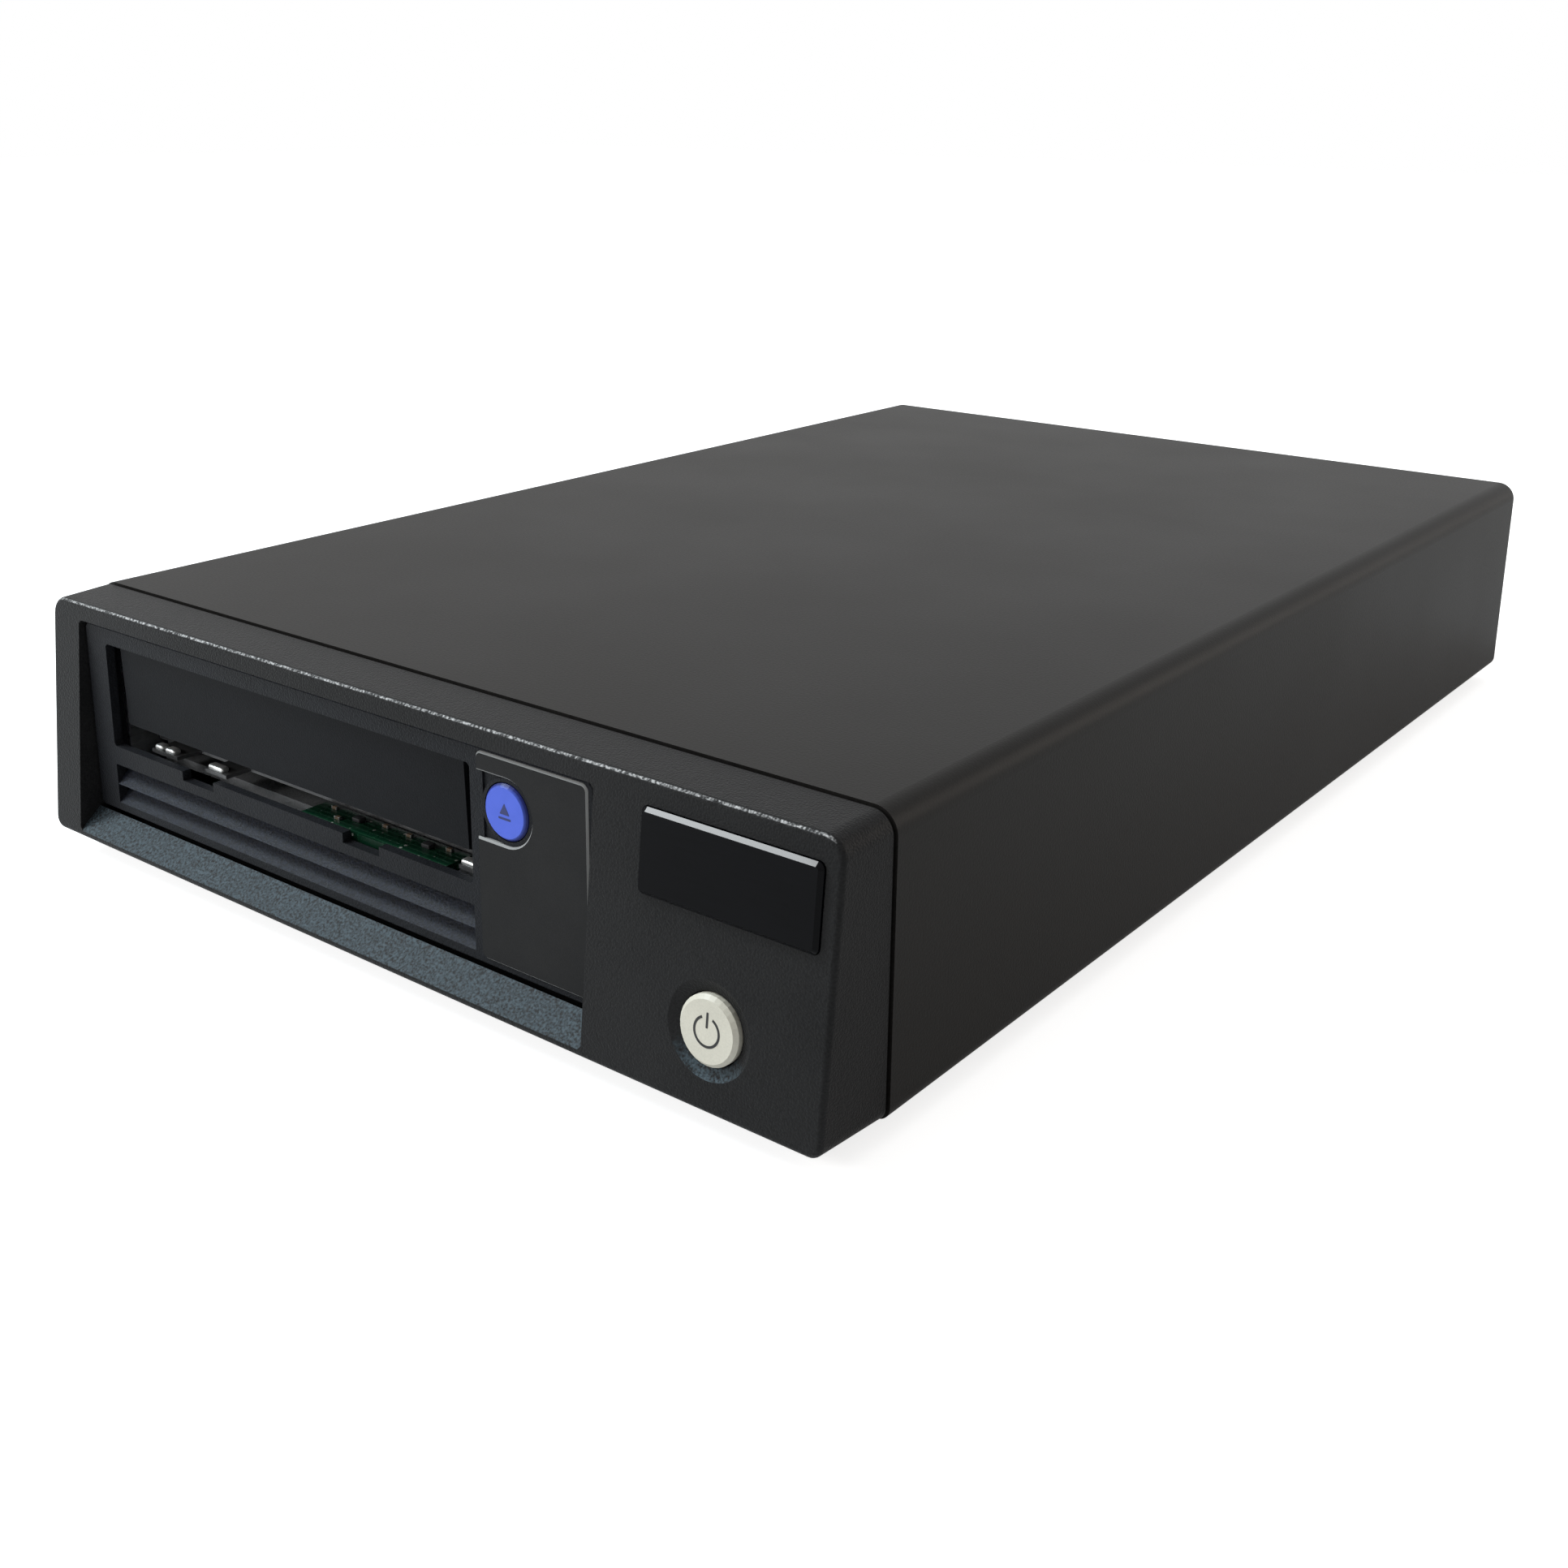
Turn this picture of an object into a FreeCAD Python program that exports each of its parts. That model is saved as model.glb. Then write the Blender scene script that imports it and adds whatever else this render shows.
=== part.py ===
import FreeCAD, Part
import math
import os
import Sketcher

# Desktop tape drive: a steel case with a moulded front, holding a half-height
# cartridge drive, its power supply, fan and data ports.
#
# Frame: +X to the right of someone facing the front, +Y to the back, +Z up.
# The origin is under the middle of the case, on the surface it stands on.

doc = FreeCAD.newDocument("desktop_tape_drive")
sheet = doc.addObject("Spreadsheet::Sheet", "dim")
pieces = []


# ---------------------------------------------------------------- sizes

class Size:
    """A length that knows its formula on the sheet and its value."""

    def __init__(self, formula, value):
        self.formula = formula
        self.value = value

    def __add__(self, other):
        other = as_size(other)
        return Size("(%s + %s)" % (self.formula, other.formula), self.value + other.value)

    def __sub__(self, other):
        other = as_size(other)
        return Size("(%s - %s)" % (self.formula, other.formula), self.value - other.value)

    def __mul__(self, other):
        other = as_size(other)
        return Size("(%s * %s)" % (self.formula, other.formula), self.value * other.value)

    def __truediv__(self, other):
        other = as_size(other)
        return Size("(%s / %s)" % (self.formula, other.formula), self.value / other.value)

    def __neg__(self):
        return Size("(0 - %s)" % self.formula, -self.value)

    def __radd__(self, other):
        return as_size(other) + self

    def __rsub__(self, other):
        return as_size(other) - self

    def __rmul__(self, other):
        return as_size(other) * self


def as_size(number):
    """Let a plain number stand where a size can."""
    if isinstance(number, Size):
        return number
    return Size("(%r)" % number, number)


def size(name, millimetres):
    """Write one driving size to the next row of the sheet."""
    size.row += 1
    sheet.set("A%d" % size.row, name)
    sheet.set("B%d" % size.row, repr(millimetres))
    sheet.setAlias("B%d" % size.row, name)
    return Size("dim." + name, millimetres)


size.row = 0


def bind(item, **lengths):
    """Tie properties to formulas; two underscores stand for a dot."""
    for path, length in lengths.items():
        item.setExpression(path.replace("__", "."), as_size(length).formula)


# ------------------------------------------------------- sketch outlines

def line(sketch, start, end):
    first = FreeCAD.Vector(as_size(start[0]).value, as_size(start[1]).value, 0)
    last = FreeCAD.Vector(as_size(end[0]).value, as_size(end[1]).value, 0)
    return sketch.addGeometry(Part.LineSegment(first, last), False)


def hold(sketch, kind, length, *place):
    """Add one dimension to a sketch and tie it to its formula."""
    length = as_size(length)
    number = sketch.addConstraint(Sketcher.Constraint(kind, *place, length.value))
    sketch.setExpression("Constraints[%d]" % number, length.formula)


def outline(*corners):
    """A closed outline of straight sides through the corners."""
    def draw(sketch):
        count = len(corners)
        sides = [line(sketch, corners[k], corners[(k + 1) % count]) for k in range(count)]
        for k, side in enumerate(sides):
            sketch.addConstraint(Sketcher.Constraint("Coincident", side, 2, sides[(k + 1) % count], 1))
            hold(sketch, "DistanceX", corners[k][0], -1, 1, side, 1)
            hold(sketch, "DistanceY", corners[k][1], -1, 1, side, 1)
    return draw


def rectangle(left, right, low, high):
    return outline((left, low), (right, low), (right, high), (left, high))


def rounded(left, right, low, high, corner):
    """A rectangle whose four corners are round."""
    left, right, low, high, corner = [as_size(edge) for edge in (left, right, low, high, corner)]
    starts = [(left + corner, low), (right, low + corner), (right - corner, high), (left, high - corner)]
    ends = [(right - corner, low), (right, high - corner), (left + corner, high), (left, low + corner)]
    middles = [(right - corner, low + corner), (right - corner, high - corner),
               (left + corner, high - corner), (left + corner, low + corner)]

    def draw(sketch):
        sides = []
        bends = []
        for k in range(4):
            sides.append(line(sketch, starts[k], ends[k]))
            centre = FreeCAD.Vector(middles[k][0].value, middles[k][1].value, 0)
            circle_line = Part.Circle(centre, FreeCAD.Vector(0, 0, 1), corner.value)
            first = math.radians(90 * k - 90)
            bends.append(sketch.addGeometry(Part.ArcOfCircle(circle_line, first, first + math.pi / 2), False))
        for k in range(4):
            sketch.addConstraint(Sketcher.Constraint("Tangent", sides[k], 2, bends[k], 1))
            sketch.addConstraint(Sketcher.Constraint("Tangent", bends[k], 2, sides[(k + 1) % 4], 1))
            hold(sketch, "Radius", corner, bends[k])
            level = "Horizontal" if k % 2 == 0 else "Vertical"
            sketch.addConstraint(Sketcher.Constraint(level, sides[k]))
        hold(sketch, "DistanceY", low, -1, 1, sides[0], 1)
        hold(sketch, "DistanceX", right, -1, 1, sides[1], 1)
        hold(sketch, "DistanceY", high, -1, 1, sides[2], 1)
        hold(sketch, "DistanceX", left, -1, 1, sides[3], 1)
    return draw


def circle(across, up, radius):
    def draw(sketch):
        centre = FreeCAD.Vector(as_size(across).value, as_size(up).value, 0)
        round_line = Part.Circle(centre, FreeCAD.Vector(0, 0, 1), as_size(radius).value)
        number = sketch.addGeometry(round_line, False)
        hold(sketch, "DistanceX", across, -1, 1, number, 3)
        hold(sketch, "DistanceY", up, -1, 1, number, 3)
        hold(sketch, "Radius", radius, number)
    return draw


def polygon(across, up, radius, sides, start=0):
    """A regular outline, such as a hexagon, round a centre."""
    turns = [math.radians(start + 360 * k / sides) for k in range(sides)]
    return outline(*[(as_size(across) + radius * round(math.cos(turn), 6),
                      as_size(up) + radius * round(math.sin(turn), 6)) for turn in turns])


def across_flats(radius, sides):
    """The corner radius of a bore whose flats lie at a radius."""
    return radius / round(math.cos(math.pi / sides), 6)


# Small pins, bores and inner wheels have flats in place of their round, to
# keep the model light.
def flatted(across, up, radius, sides=6):
    """A pin or wheel drawn with flats, kept inside its round."""
    return polygon(across, up, radius, sides)


def flatted_bore(across, up, radius, sides=6):
    """A bore drawn with flats, kept outside its round."""
    return polygon(across, up, across_flats(radius, sides), sides)


def bevelled(left, right, low, high, bevel):
    """A rectangle whose four corners are cut off."""
    return outline((left + bevel, low), (right - bevel, low), (right, low + bevel), (right, high - bevel),
                   (right - bevel, high), (left + bevel, high), (left, high - bevel), (left, low + bevel))


# --------------------------------------------------------- the pieces

PLANES = {"x": "YZ_Plane", "y": "XZ_Plane", "z": "XY_Plane"}


class Piece:
    """One sub-part: a body with its sketches and features.

    pad and cut work between two levels on an axis of the piece. A sketch
    across X reads (Y, Z), one across Y reads (X, Z), one across Z (X, Y).
    """

    def __init__(self, label, x=0, y=0, z=0, axis=(1, 0, 0), turn=0):
        self.label = label
        self.body = doc.addObject("PartDesign::Body", label)
        self.body.Label = label
        self.body.Placement = FreeCAD.Placement(FreeCAD.Vector(0, 0, 0),
                                                FreeCAD.Rotation(FreeCAD.Vector(*axis), 1))
        bind(self.body, Placement__Base__x=x, Placement__Base__y=y, Placement__Base__z=z,
             Placement__Rotation__Angle=turn)
        pieces.append(self.body)

    def sketch(self, across, level, loops, centre=(0, 0), tilt=None):
        """Draw loops on a plane that lies across an axis at a level."""
        drawing = self.body.newObject("Sketcher::SketchObject", self.label + "_sketch")
        plane = [item for item in self.body.Origin.OriginFeatures if item.Role == PLANES[across]][0]
        drawing.AttachmentSupport = [(plane, "")]
        drawing.MapMode = "FlatFace"
        if tilt is not None:
            drawing.AttachmentOffset = FreeCAD.Placement(FreeCAD.Vector(0, 0, 0),
                                                         FreeCAD.Rotation(FreeCAD.Vector(1, 0, 0), 1))
            bind(drawing, AttachmentOffset__Rotation__Angle=tilt)
        sign = -1 if across == "y" else 1
        bind(drawing, AttachmentOffset__Base__x=centre[0], AttachmentOffset__Base__y=centre[1],
             AttachmentOffset__Base__z=as_size(level) * sign)
        for loop in loops:
            loop(drawing)
        return drawing

    def feature(self, kind, drawing, **lengths):
        item = self.body.newObject("PartDesign::" + kind, self.label + "_" + kind.lower())
        item.Profile = drawing
        bind(item, **lengths)
        drawing.Visibility = False
        self.last = item
        return item

    def pad(self, across, low, high, *loops, **place):
        level = high if across == "y" else low
        return self.feature("Pad", self.sketch(across, level, loops, **place),
                            Length=as_size(high) - low)

    def cut(self, across, low, high, *loops, **place):
        level = low if across == "y" else high
        return self.feature("Pocket", self.sketch(across, level, loops, **place),
                            Length=as_size(high) - low)

    def around(self, count, body_axis=None):
        """Repeat the last feature round its sketch's centre or a body axis."""
        original = self.last
        item = self.body.newObject("PartDesign::PolarPattern", self.label + "_ring")
        item.Originals = [original]
        item.Axis = (original.Profile[0], ["N_Axis"])
        if body_axis is not None:
            lines = self.body.Origin.OriginFeatures
            item.Axis = ([each for each in lines if each.Role == body_axis + "_Axis"][0], [""])
        item.Angle = 360
        item.Occurrences = count
        self.body.Tip = item

    def along(self, direction, step, count):
        """Repeat the last feature in a row along its sketch's H or V axis."""
        original = self.last
        item = self.body.newObject("PartDesign::LinearPattern", self.label + "_row")
        item.Originals = [original]
        item.Direction = (original.Profile[0], [direction + "_Axis"])
        bind(item, Length=as_size(step) * (count - 1))
        item.Occurrences = count
        self.body.Tip = item

    def soften(self, radius, test, kind="Fillet"):
        """Round or bevel every edge that passes the test."""
        doc.recompute()
        base = self.body.Tip
        names = ["Edge%d" % (k + 1) for k, edge in enumerate(base.Shape.Edges) if test(edge)]
        if not names:
            raise ValueError(self.label + ": no edge to soften")
        item = self.body.newObject("PartDesign::" + kind, self.label + "_" + kind.lower())
        item.Base = (base, names)
        self.body.Tip = item
        if kind == "Fillet":
            bind(item, Radius=radius)
        else:
            bind(item, Size=radius)


def along_axis(edge, axis):
    """True for a straight edge that runs along the axis."""
    direction = edge.Vertexes[-1].Point - edge.Vertexes[0].Point
    straight = edge.Length - direction.Length < 0.001
    return straight and abs(getattr(direction, axis)) > 0.98 * direction.Length


def near(value, length, slack=0.05):
    return abs(value - as_size(length).value) < slack


def solid_block(name, x, y, z):
    """A Part::Box between a low and a high level on each axis."""
    box = doc.addObject("Part::Box", name)
    bind(box, Length=as_size(x[1]) - x[0], Width=as_size(y[1]) - y[0], Height=as_size(z[1]) - z[0],
         Placement__Base__x=x[0], Placement__Base__y=y[0], Placement__Base__z=z[0])
    return box


TURNS = {"x": ((0, 1, 0), 90), "y": ((1, 0, 0), -90), "z": ((0, 0, 1), 0)}


def solid_rod(name, axis, radius, x, y, z, length, sides=6):
    """A Part::Prism that stands for a rod from a start point along an axis."""
    rod = doc.addObject("Part::Prism", name)
    rod.Polygon = sides
    direction, angle = TURNS[axis]
    rod.Placement = FreeCAD.Placement(FreeCAD.Vector(0, 0, 0),
                                      FreeCAD.Rotation(FreeCAD.Vector(*direction), angle))
    bind(rod, Circumradius=radius, Height=length,
         Placement__Base__x=x, Placement__Base__y=y, Placement__Base__z=z)
    return rod


def upright_spindle(name, radius, x, y, z, length):
    """A Part::Cylinder that a wheel turns on."""
    spindle = doc.addObject("Part::Cylinder", name)
    bind(spindle, Radius=radius, Height=length,
         Placement__Base__x=x, Placement__Base__y=y, Placement__Base__z=z)
    return spindle


def joined(label, solids, place=(0, 0, 0)):
    """Fuse primitives into one sub-part and set it in its place."""
    fuse = doc.addObject("Part::MultiFuse", label)
    fuse.Label = label
    fuse.Shapes = solids
    bind(fuse, Placement__Base__x=place[0], Placement__Base__y=place[1], Placement__Base__z=place[2])
    pieces.append(fuse)
    return fuse


def carved(label, base, tools, place=(0, 0, 0)):
    """Cut primitives out of a base and keep the rest as a sub-part."""
    base_solid = base
    if isinstance(base, list):
        base_solid = doc.addObject("Part::MultiFuse", label + "_whole")
        base_solid.Shapes = base
    tool = tools[0]
    if len(tools) > 1:
        tool = doc.addObject("Part::MultiFuse", label + "_tools")
        tool.Shapes = tools
    cut = doc.addObject("Part::Cut", label)
    cut.Label = label
    cut.Base = base_solid
    cut.Tool = tool
    bind(cut, Placement__Base__x=place[0], Placement__Base__y=place[1], Placement__Base__z=place[2])
    pieces.append(cut)
    return cut


# ------------------------------------------------------------- the case

case_width = size("case_width", 213.0)
case_height = size("case_height", 54.0)
overall_depth = size("overall_depth", 332.0)
feet_height = size("feet_height", 4.0)
rear_overhang = size("rear_overhang", 1.9)
bezel_depth_low = size("bezel_depth_low", 17.8)
bezel_depth_top = size("bezel_depth_top", 12.7)
case_sheet = size("case_sheet", 1.0)
case_top_corner = size("case_top_corner", 4.5)
case_low_corner = size("case_low_corner", 2.7)
case_flange = size("case_flange", 28.0)
seam_gap = size("seam_gap", 0.8)
sheet_gap = size("sheet_gap", 0.1)
# Cuts that open through a face start this far outside it.
cut_reach = size("cut_reach", 2.0)
# The drive stands a set distance from the case's left side.
drive_width = size("drive_width", 146.0)
drive_bezel_width = size("drive_bezel_width", 149.2)
drive_side = size("drive_side", 13.1)

half_case = case_width / 2
case_bottom = feet_height
case_top = case_bottom + case_height
front_y = -overall_depth / 2
seam_y = front_y + bezel_depth_low
rear_y = overall_depth / 2 - rear_overhang
front_slope = (bezel_depth_low - bezel_depth_top) / case_height
half_drive = drive_width / 2
half_drive_bezel = drive_bezel_width / 2
drive_offset = half_case - half_drive - drive_side


def front_at(height):
    """Where the sloping front face stands at a height."""
    return front_y + (height - case_bottom) * front_slope


# The cover is one folded sheet: top, sides and two flanges underneath.
cover = Piece("top_cover")
cover.pad("y", seam_y, rear_y, outline(
    (-half_case, case_bottom), (-half_case, case_top), (half_case, case_top),
    (half_case, case_bottom), (half_case - case_flange, case_bottom),
    (half_case - case_flange, case_bottom + case_sheet),
    (half_case - case_sheet, case_bottom + case_sheet), (half_case - case_sheet, case_top - case_sheet),
    (-half_case + case_sheet, case_top - case_sheet), (-half_case + case_sheet, case_bottom + case_sheet),
    (-half_case + case_flange, case_bottom + case_sheet), (-half_case + case_flange, case_bottom)))


def case_bend(inset, low):
    """Picks the long bends that lie an inset inside the case's corners."""
    level = case_bottom + inset if low else case_top - inset

    def test(edge):
        middle = edge.CenterOfMass
        return along_axis(edge, "y") and near(abs(middle.x), half_case - inset) and near(middle.z, level)
    return test


cover.soften(case_top_corner - case_sheet, case_bend(case_sheet, False))
cover.soften(case_top_corner, case_bend(0, False))
cover.soften(case_low_corner - case_sheet, case_bend(case_sheet, True))
cover.soften(case_low_corner, case_bend(0, True))

# Screws go up through the flanges: two into the front moulding, four into
# the tray.
screw_radius = size("screw_radius", 1.5)
screw_clearance = size("screw_clearance", 0.1)
screw_head_radius = size("screw_head_radius", 2.9)
screw_head_height = size("screw_head_height", 0.9)
case_screw_inset = size("case_screw_inset", 20.0)
bezel_screw_depth = size("bezel_screw_depth", 4.0)
tray_screw_front = size("tray_screw_front", 60.0)
tray_screw_rear = size("tray_screw_rear", 14.0)
case_screw_length = size("case_screw_length", 6.0)

case_screw_x = half_case - case_screw_inset
case_screw_rows = [seam_y + bezel_screw_depth, seam_y + tray_screw_front, rear_y - tray_screw_rear]
screw_holes = [flatted_bore(side * case_screw_x, row, screw_radius + screw_clearance)
               for side in (-1, 1) for row in case_screw_rows]
cover.cut("z", case_bottom, case_bottom + case_sheet, *screw_holes)

# The tray slides into the cover and lies on its flanges.
tray_side_height = size("tray_side_height", 15.0)
tray_sheet = size("tray_sheet", 1.0)
bezel_rim_depth = size("bezel_rim_depth", 7.0)
tray_gap = size("tray_gap", 0.3)
vent_slot_width = size("vent_slot_width", 3.0)
vent_slot_length = size("vent_slot_length", 30.0)
vent_slot_step = size("vent_slot_step", 8.0)
vent_slot_start = size("vent_slot_start", 76.0)
slot_end_bevel = size("slot_end_bevel", 0.8)
tray_vents = 6

half_tray = half_case - case_sheet - sheet_gap
tray_low = case_bottom + case_sheet
tray_top = tray_low + tray_sheet
tray_front = seam_y + bezel_rim_depth + tray_gap
tray_rear = rear_y - case_sheet
tray = Piece("base_tray")
tray.pad("y", tray_front, tray_rear, outline(
    (-half_tray, tray_low), (half_tray, tray_low), (half_tray, tray_low + tray_side_height),
    (half_tray - tray_sheet, tray_low + tray_side_height), (half_tray - tray_sheet, tray_top),
    (-half_tray + tray_sheet, tray_top), (-half_tray + tray_sheet, tray_low + tray_side_height),
    (-half_tray, tray_low + tray_side_height)))


def tray_bend(inset):
    """Picks the two long bends of the tray, outside or inside."""
    def test(edge):
        middle = edge.CenterOfMass
        return (along_axis(edge, "y") and near(abs(middle.x), half_tray - inset)
                and near(middle.z, tray_low + inset))
    return test


tray.soften(case_low_corner - case_sheet - tray_sheet + sheet_gap, tray_bend(tray_sheet))
tray.soften(case_low_corner - case_sheet + sheet_gap, tray_bend(0))
tray.cut("z", tray_low, tray_top, *[flatted_bore(side * case_screw_x, row, screw_radius + screw_clearance)
                                    for side in (-1, 1) for row in case_screw_rows[1:]])
tray.cut("z", tray_low, tray_top, bevelled(
    -vent_slot_length / 2, vent_slot_length / 2, rear_y - vent_slot_start,
    rear_y - vent_slot_start + vent_slot_width, slot_end_bevel))
tray.along("V", vent_slot_step, tray_vents)


def pan_screw(name, axis, x, y, z, length, inward):
    """A pan-head screw: its head rests at the point, its shank goes inward."""
    at = "xyz".index(axis)
    shank_start = [x, y, z]
    head_start = [x, y, z]
    if inward > 0:
        head_start[at] = head_start[at] - screw_head_height
    else:
        shank_start[at] = shank_start[at] - length
    return [solid_rod(name + "_shank", axis, screw_radius, *shank_start, length),
            solid_rod(name + "_head", axis, screw_head_radius, *head_start, screw_head_height)]


def screw_group(label, screws, place=(0, 0, 0)):
    """Several like screws held in one sub-part."""
    solids = []
    for number, screw in enumerate(screws):
        solids.extend(pan_screw("%s_%d" % (label, number + 1), *screw))
    return joined(label, solids, place)


screw_group("case_screws", [("z", side * case_screw_x, row, case_bottom, case_screw_length, 1)
                            for side in (-1, 1) for row in case_screw_rows])

# Four rubber feet, bevelled and hollow underneath, stuck to the flanges.
foot_radius = size("foot_radius", 8.0)
foot_bevel = size("foot_bevel", 1.0)
foot_dish = size("foot_dish", 0.8)
foot_hollow = size("foot_hollow", 4.6)
foot_front = size("foot_front", 36.0)
foot_rear = size("foot_rear", 26.0)
foot_sides = 12

foot_x = half_case - case_flange + foot_radius + sheet_gap
for side, side_name in ((-1, "left"), (1, "right")):
    for place, row in (("front", front_y + foot_front), ("rear", rear_y - foot_rear)):
        foot = Piece("rubber_foot_%s_%s" % (place, side_name), side * foot_x, row)
        foot.pad("z", 0, feet_height, flatted(0, 0, foot_radius, foot_sides))
        foot.soften(foot_bevel, lambda edge: near(edge.CenterOfMass.z, 0), kind="Chamfer")
        foot.cut("z", 0, foot_dish, flatted(0, 0, foot_hollow, foot_sides))


# ------------------------------------------------- the moulded front

# A hollow moulding with a sloping face, leaning sides, a window for the
# drive with a sill that rises inwards, and places for badge and button.
bezel_taper = size("bezel_taper", 0.76)
bezel_inset = size("bezel_inset", 0.3)
bezel_wall = size("bezel_wall", 2.5)
bezel_top_corner = size("bezel_top_corner", 4.0)
bezel_low_corner = size("bezel_low_corner", 2.6)
bezel_edge_round = size("bezel_edge_round", 1.0)
bezel_rim_wall = size("bezel_rim_wall", 1.8)
bezel_rim_gap = size("bezel_rim_gap", 0.2)
window_side_gap = size("window_side_gap", 0.8)
window_low = size("window_low", 2.4)
window_height = size("window_height", 47.1)
window_corner = size("window_corner", 0.8)
collar_wall = size("collar_wall", 1.5)
collar_depth = size("collar_depth", 4.5)
drive_recess = size("drive_recess", 5.5)
sill_rise = size("sill_rise", 4.2)
sill_thickness = size("sill_thickness", 2.2)

drive_face_y = front_y + drive_recess
window_left = half_drive_bezel + drive_offset + window_side_gap
window_right = half_drive_bezel - drive_offset + window_side_gap
window_floor = case_bottom + window_low
window_roof = window_floor + window_height
bezel_back = seam_y - seam_gap
half_bezel = half_case - bezel_inset
bezel_floor = case_bottom + bezel_inset
bezel_roof = case_top - bezel_inset
draft_loss = size("draft_loss", 0.9)

bezel = Piece("front_bezel")
block_front = front_y - cut_reach
bezel.pad("y", block_front, bezel_back, rectangle(-half_bezel, half_bezel, bezel_floor, bezel_roof))
# All four sides lean in towards the front.
for side in (-1, 1):
    bezel.cut("z", bezel_floor, bezel_roof, outline(
        (side * half_bezel, bezel_back), (side * (half_bezel - bezel_taper), block_front),
        (side * half_case, block_front), (side * half_case, bezel_back)))
bezel.cut("x", -half_bezel, half_bezel, outline(
    (bezel_back, bezel_roof), (block_front, bezel_roof - bezel_taper), (block_front, case_top),
    (bezel_back, case_top)), outline(
    (bezel_back, bezel_floor), (block_front, bezel_floor + bezel_taper), (block_front, case_bottom),
    (bezel_back, case_bottom)))


def bezel_corner(upper):
    """Picks the leaning corner edges at the top or at the bottom."""
    middle_height = case_bottom.value + case_height.value / 2

    def test(edge):
        return along_axis(edge, "y") and (edge.CenterOfMass.z > middle_height) == upper
    return test


bezel.soften(bezel_top_corner, bezel_corner(True))
bezel.soften(bezel_low_corner, bezel_corner(False))
bezel.cut("x", -half_case, half_case, outline(
    (front_at(case_bottom - cut_reach), case_bottom - cut_reach),
    (front_at(case_top + cut_reach), case_top + cut_reach),
    (front_y - cut_reach, case_top + cut_reach), (front_y - cut_reach, case_bottom - cut_reach)))


def on_front_face(edge):
    """Picks the edges round the sloping face."""
    middle = edge.CenterOfMass
    return abs(middle.y - front_at(as_size(middle.z)).value) < 0.3


bezel.soften(bezel_edge_round, on_front_face)
bezel.cut("x", -half_bezel + bezel_wall + draft_loss, half_bezel - bezel_wall - draft_loss, outline(
    (seam_y, bezel_floor + bezel_wall),
    (front_at(bezel_floor + bezel_wall) + bezel_wall, bezel_floor + bezel_wall),
    (front_at(bezel_roof - bezel_wall) + bezel_wall, bezel_roof - bezel_wall - draft_loss),
    (seam_y, bezel_roof - bezel_wall - draft_loss)))
rim_outside = half_case - case_sheet - bezel_rim_gap
rim_floor = case_bottom + case_sheet + bezel_rim_gap
rim_roof = case_top - case_sheet - bezel_rim_gap
rim_corner = case_top_corner - case_sheet - bezel_rim_gap / 2
bezel.pad("y", bezel_back - bezel_wall / 2, seam_y + bezel_rim_depth,
          rounded(-rim_outside, rim_outside, rim_floor, rim_roof, rim_corner),
          bevelled(-rim_outside + bezel_rim_wall, rim_outside - bezel_rim_wall,
                   rim_floor + bezel_rim_wall, rim_roof - bezel_rim_wall, bezel_rim_wall))
collar_rear = drive_face_y + collar_depth
bezel.pad("x", -window_left - collar_wall, window_right + collar_wall, outline(
    (front_at(window_floor - collar_wall) + collar_wall, window_floor - collar_wall),
    (collar_rear, window_floor - collar_wall), (collar_rear, window_roof + collar_wall),
    (front_at(window_roof + collar_wall) + collar_wall, window_roof + collar_wall)))
bezel.cut("y", front_y - cut_reach, collar_rear,
          bevelled(-window_left, window_right, window_floor, window_roof, window_corner))
bezel.pad("x", -window_left - window_corner, window_right + window_corner, outline(
    (front_at(window_floor), window_floor - window_corner), (front_at(window_floor), window_floor),
    (drive_face_y, window_floor + sill_rise), (drive_face_y, window_floor + sill_rise - sill_thickness),
    (front_at(window_floor) + sill_thickness, window_floor - window_corner)))

# Bosses in the rim take the two front case screws.
boss_radius = size("boss_radius", 3.2)
boss_height = size("boss_height", 5.4)
boss_spots = [(side * case_screw_x, case_screw_rows[0]) for side in (-1, 1)]
bezel.pad("z", rim_floor, rim_floor + boss_height, *[flatted(x, y, boss_radius) for x, y in boss_spots])
bezel.cut("z", case_bottom, case_bottom + case_screw_length,
          *[flatted_bore(x, y, screw_radius) for x, y in boss_spots])

# The power button sits in a dish, in a guide that runs square to the face.
button_side = size("button_side", 24.2)
button_height = size("button_height", 15.2)
button_radius = size("button_radius", 6.1)
button_gap = size("button_gap", 0.25)
button_proud = size("button_proud", 0.5)
button_travel = size("button_travel", 1.5)
button_length = size("button_length", 7.2)
button_flange = size("button_flange", 1.1)
button_flange_depth = size("button_flange_depth", 1.0)
dish_radius = size("dish_radius", 8.7)
dish_depth = size("dish_depth", 2.1)
guide_wall = size("guide_wall", 1.8)
guide_depth = size("guide_depth", 6.4)
guide_sides = 12
cap_sides = 32

button_x = half_case - button_side
button_z = case_bottom + button_height
button_y = front_at(button_z)
slope_angle = math.degrees(math.atan(front_slope.value))
tilt_angle = Size("(-1 * atan(%s))" % front_slope.formula, -slope_angle)
face_turn = Size("(90 deg - atan(%s))" % front_slope.formula, 90 - slope_angle)


def facing(x, z, level):
    """Places a sketch square to the sloping face, in line with a point on it."""
    return {"centre": (x, z - (level - front_at(z)) * front_slope), "tilt": tilt_angle}


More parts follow.
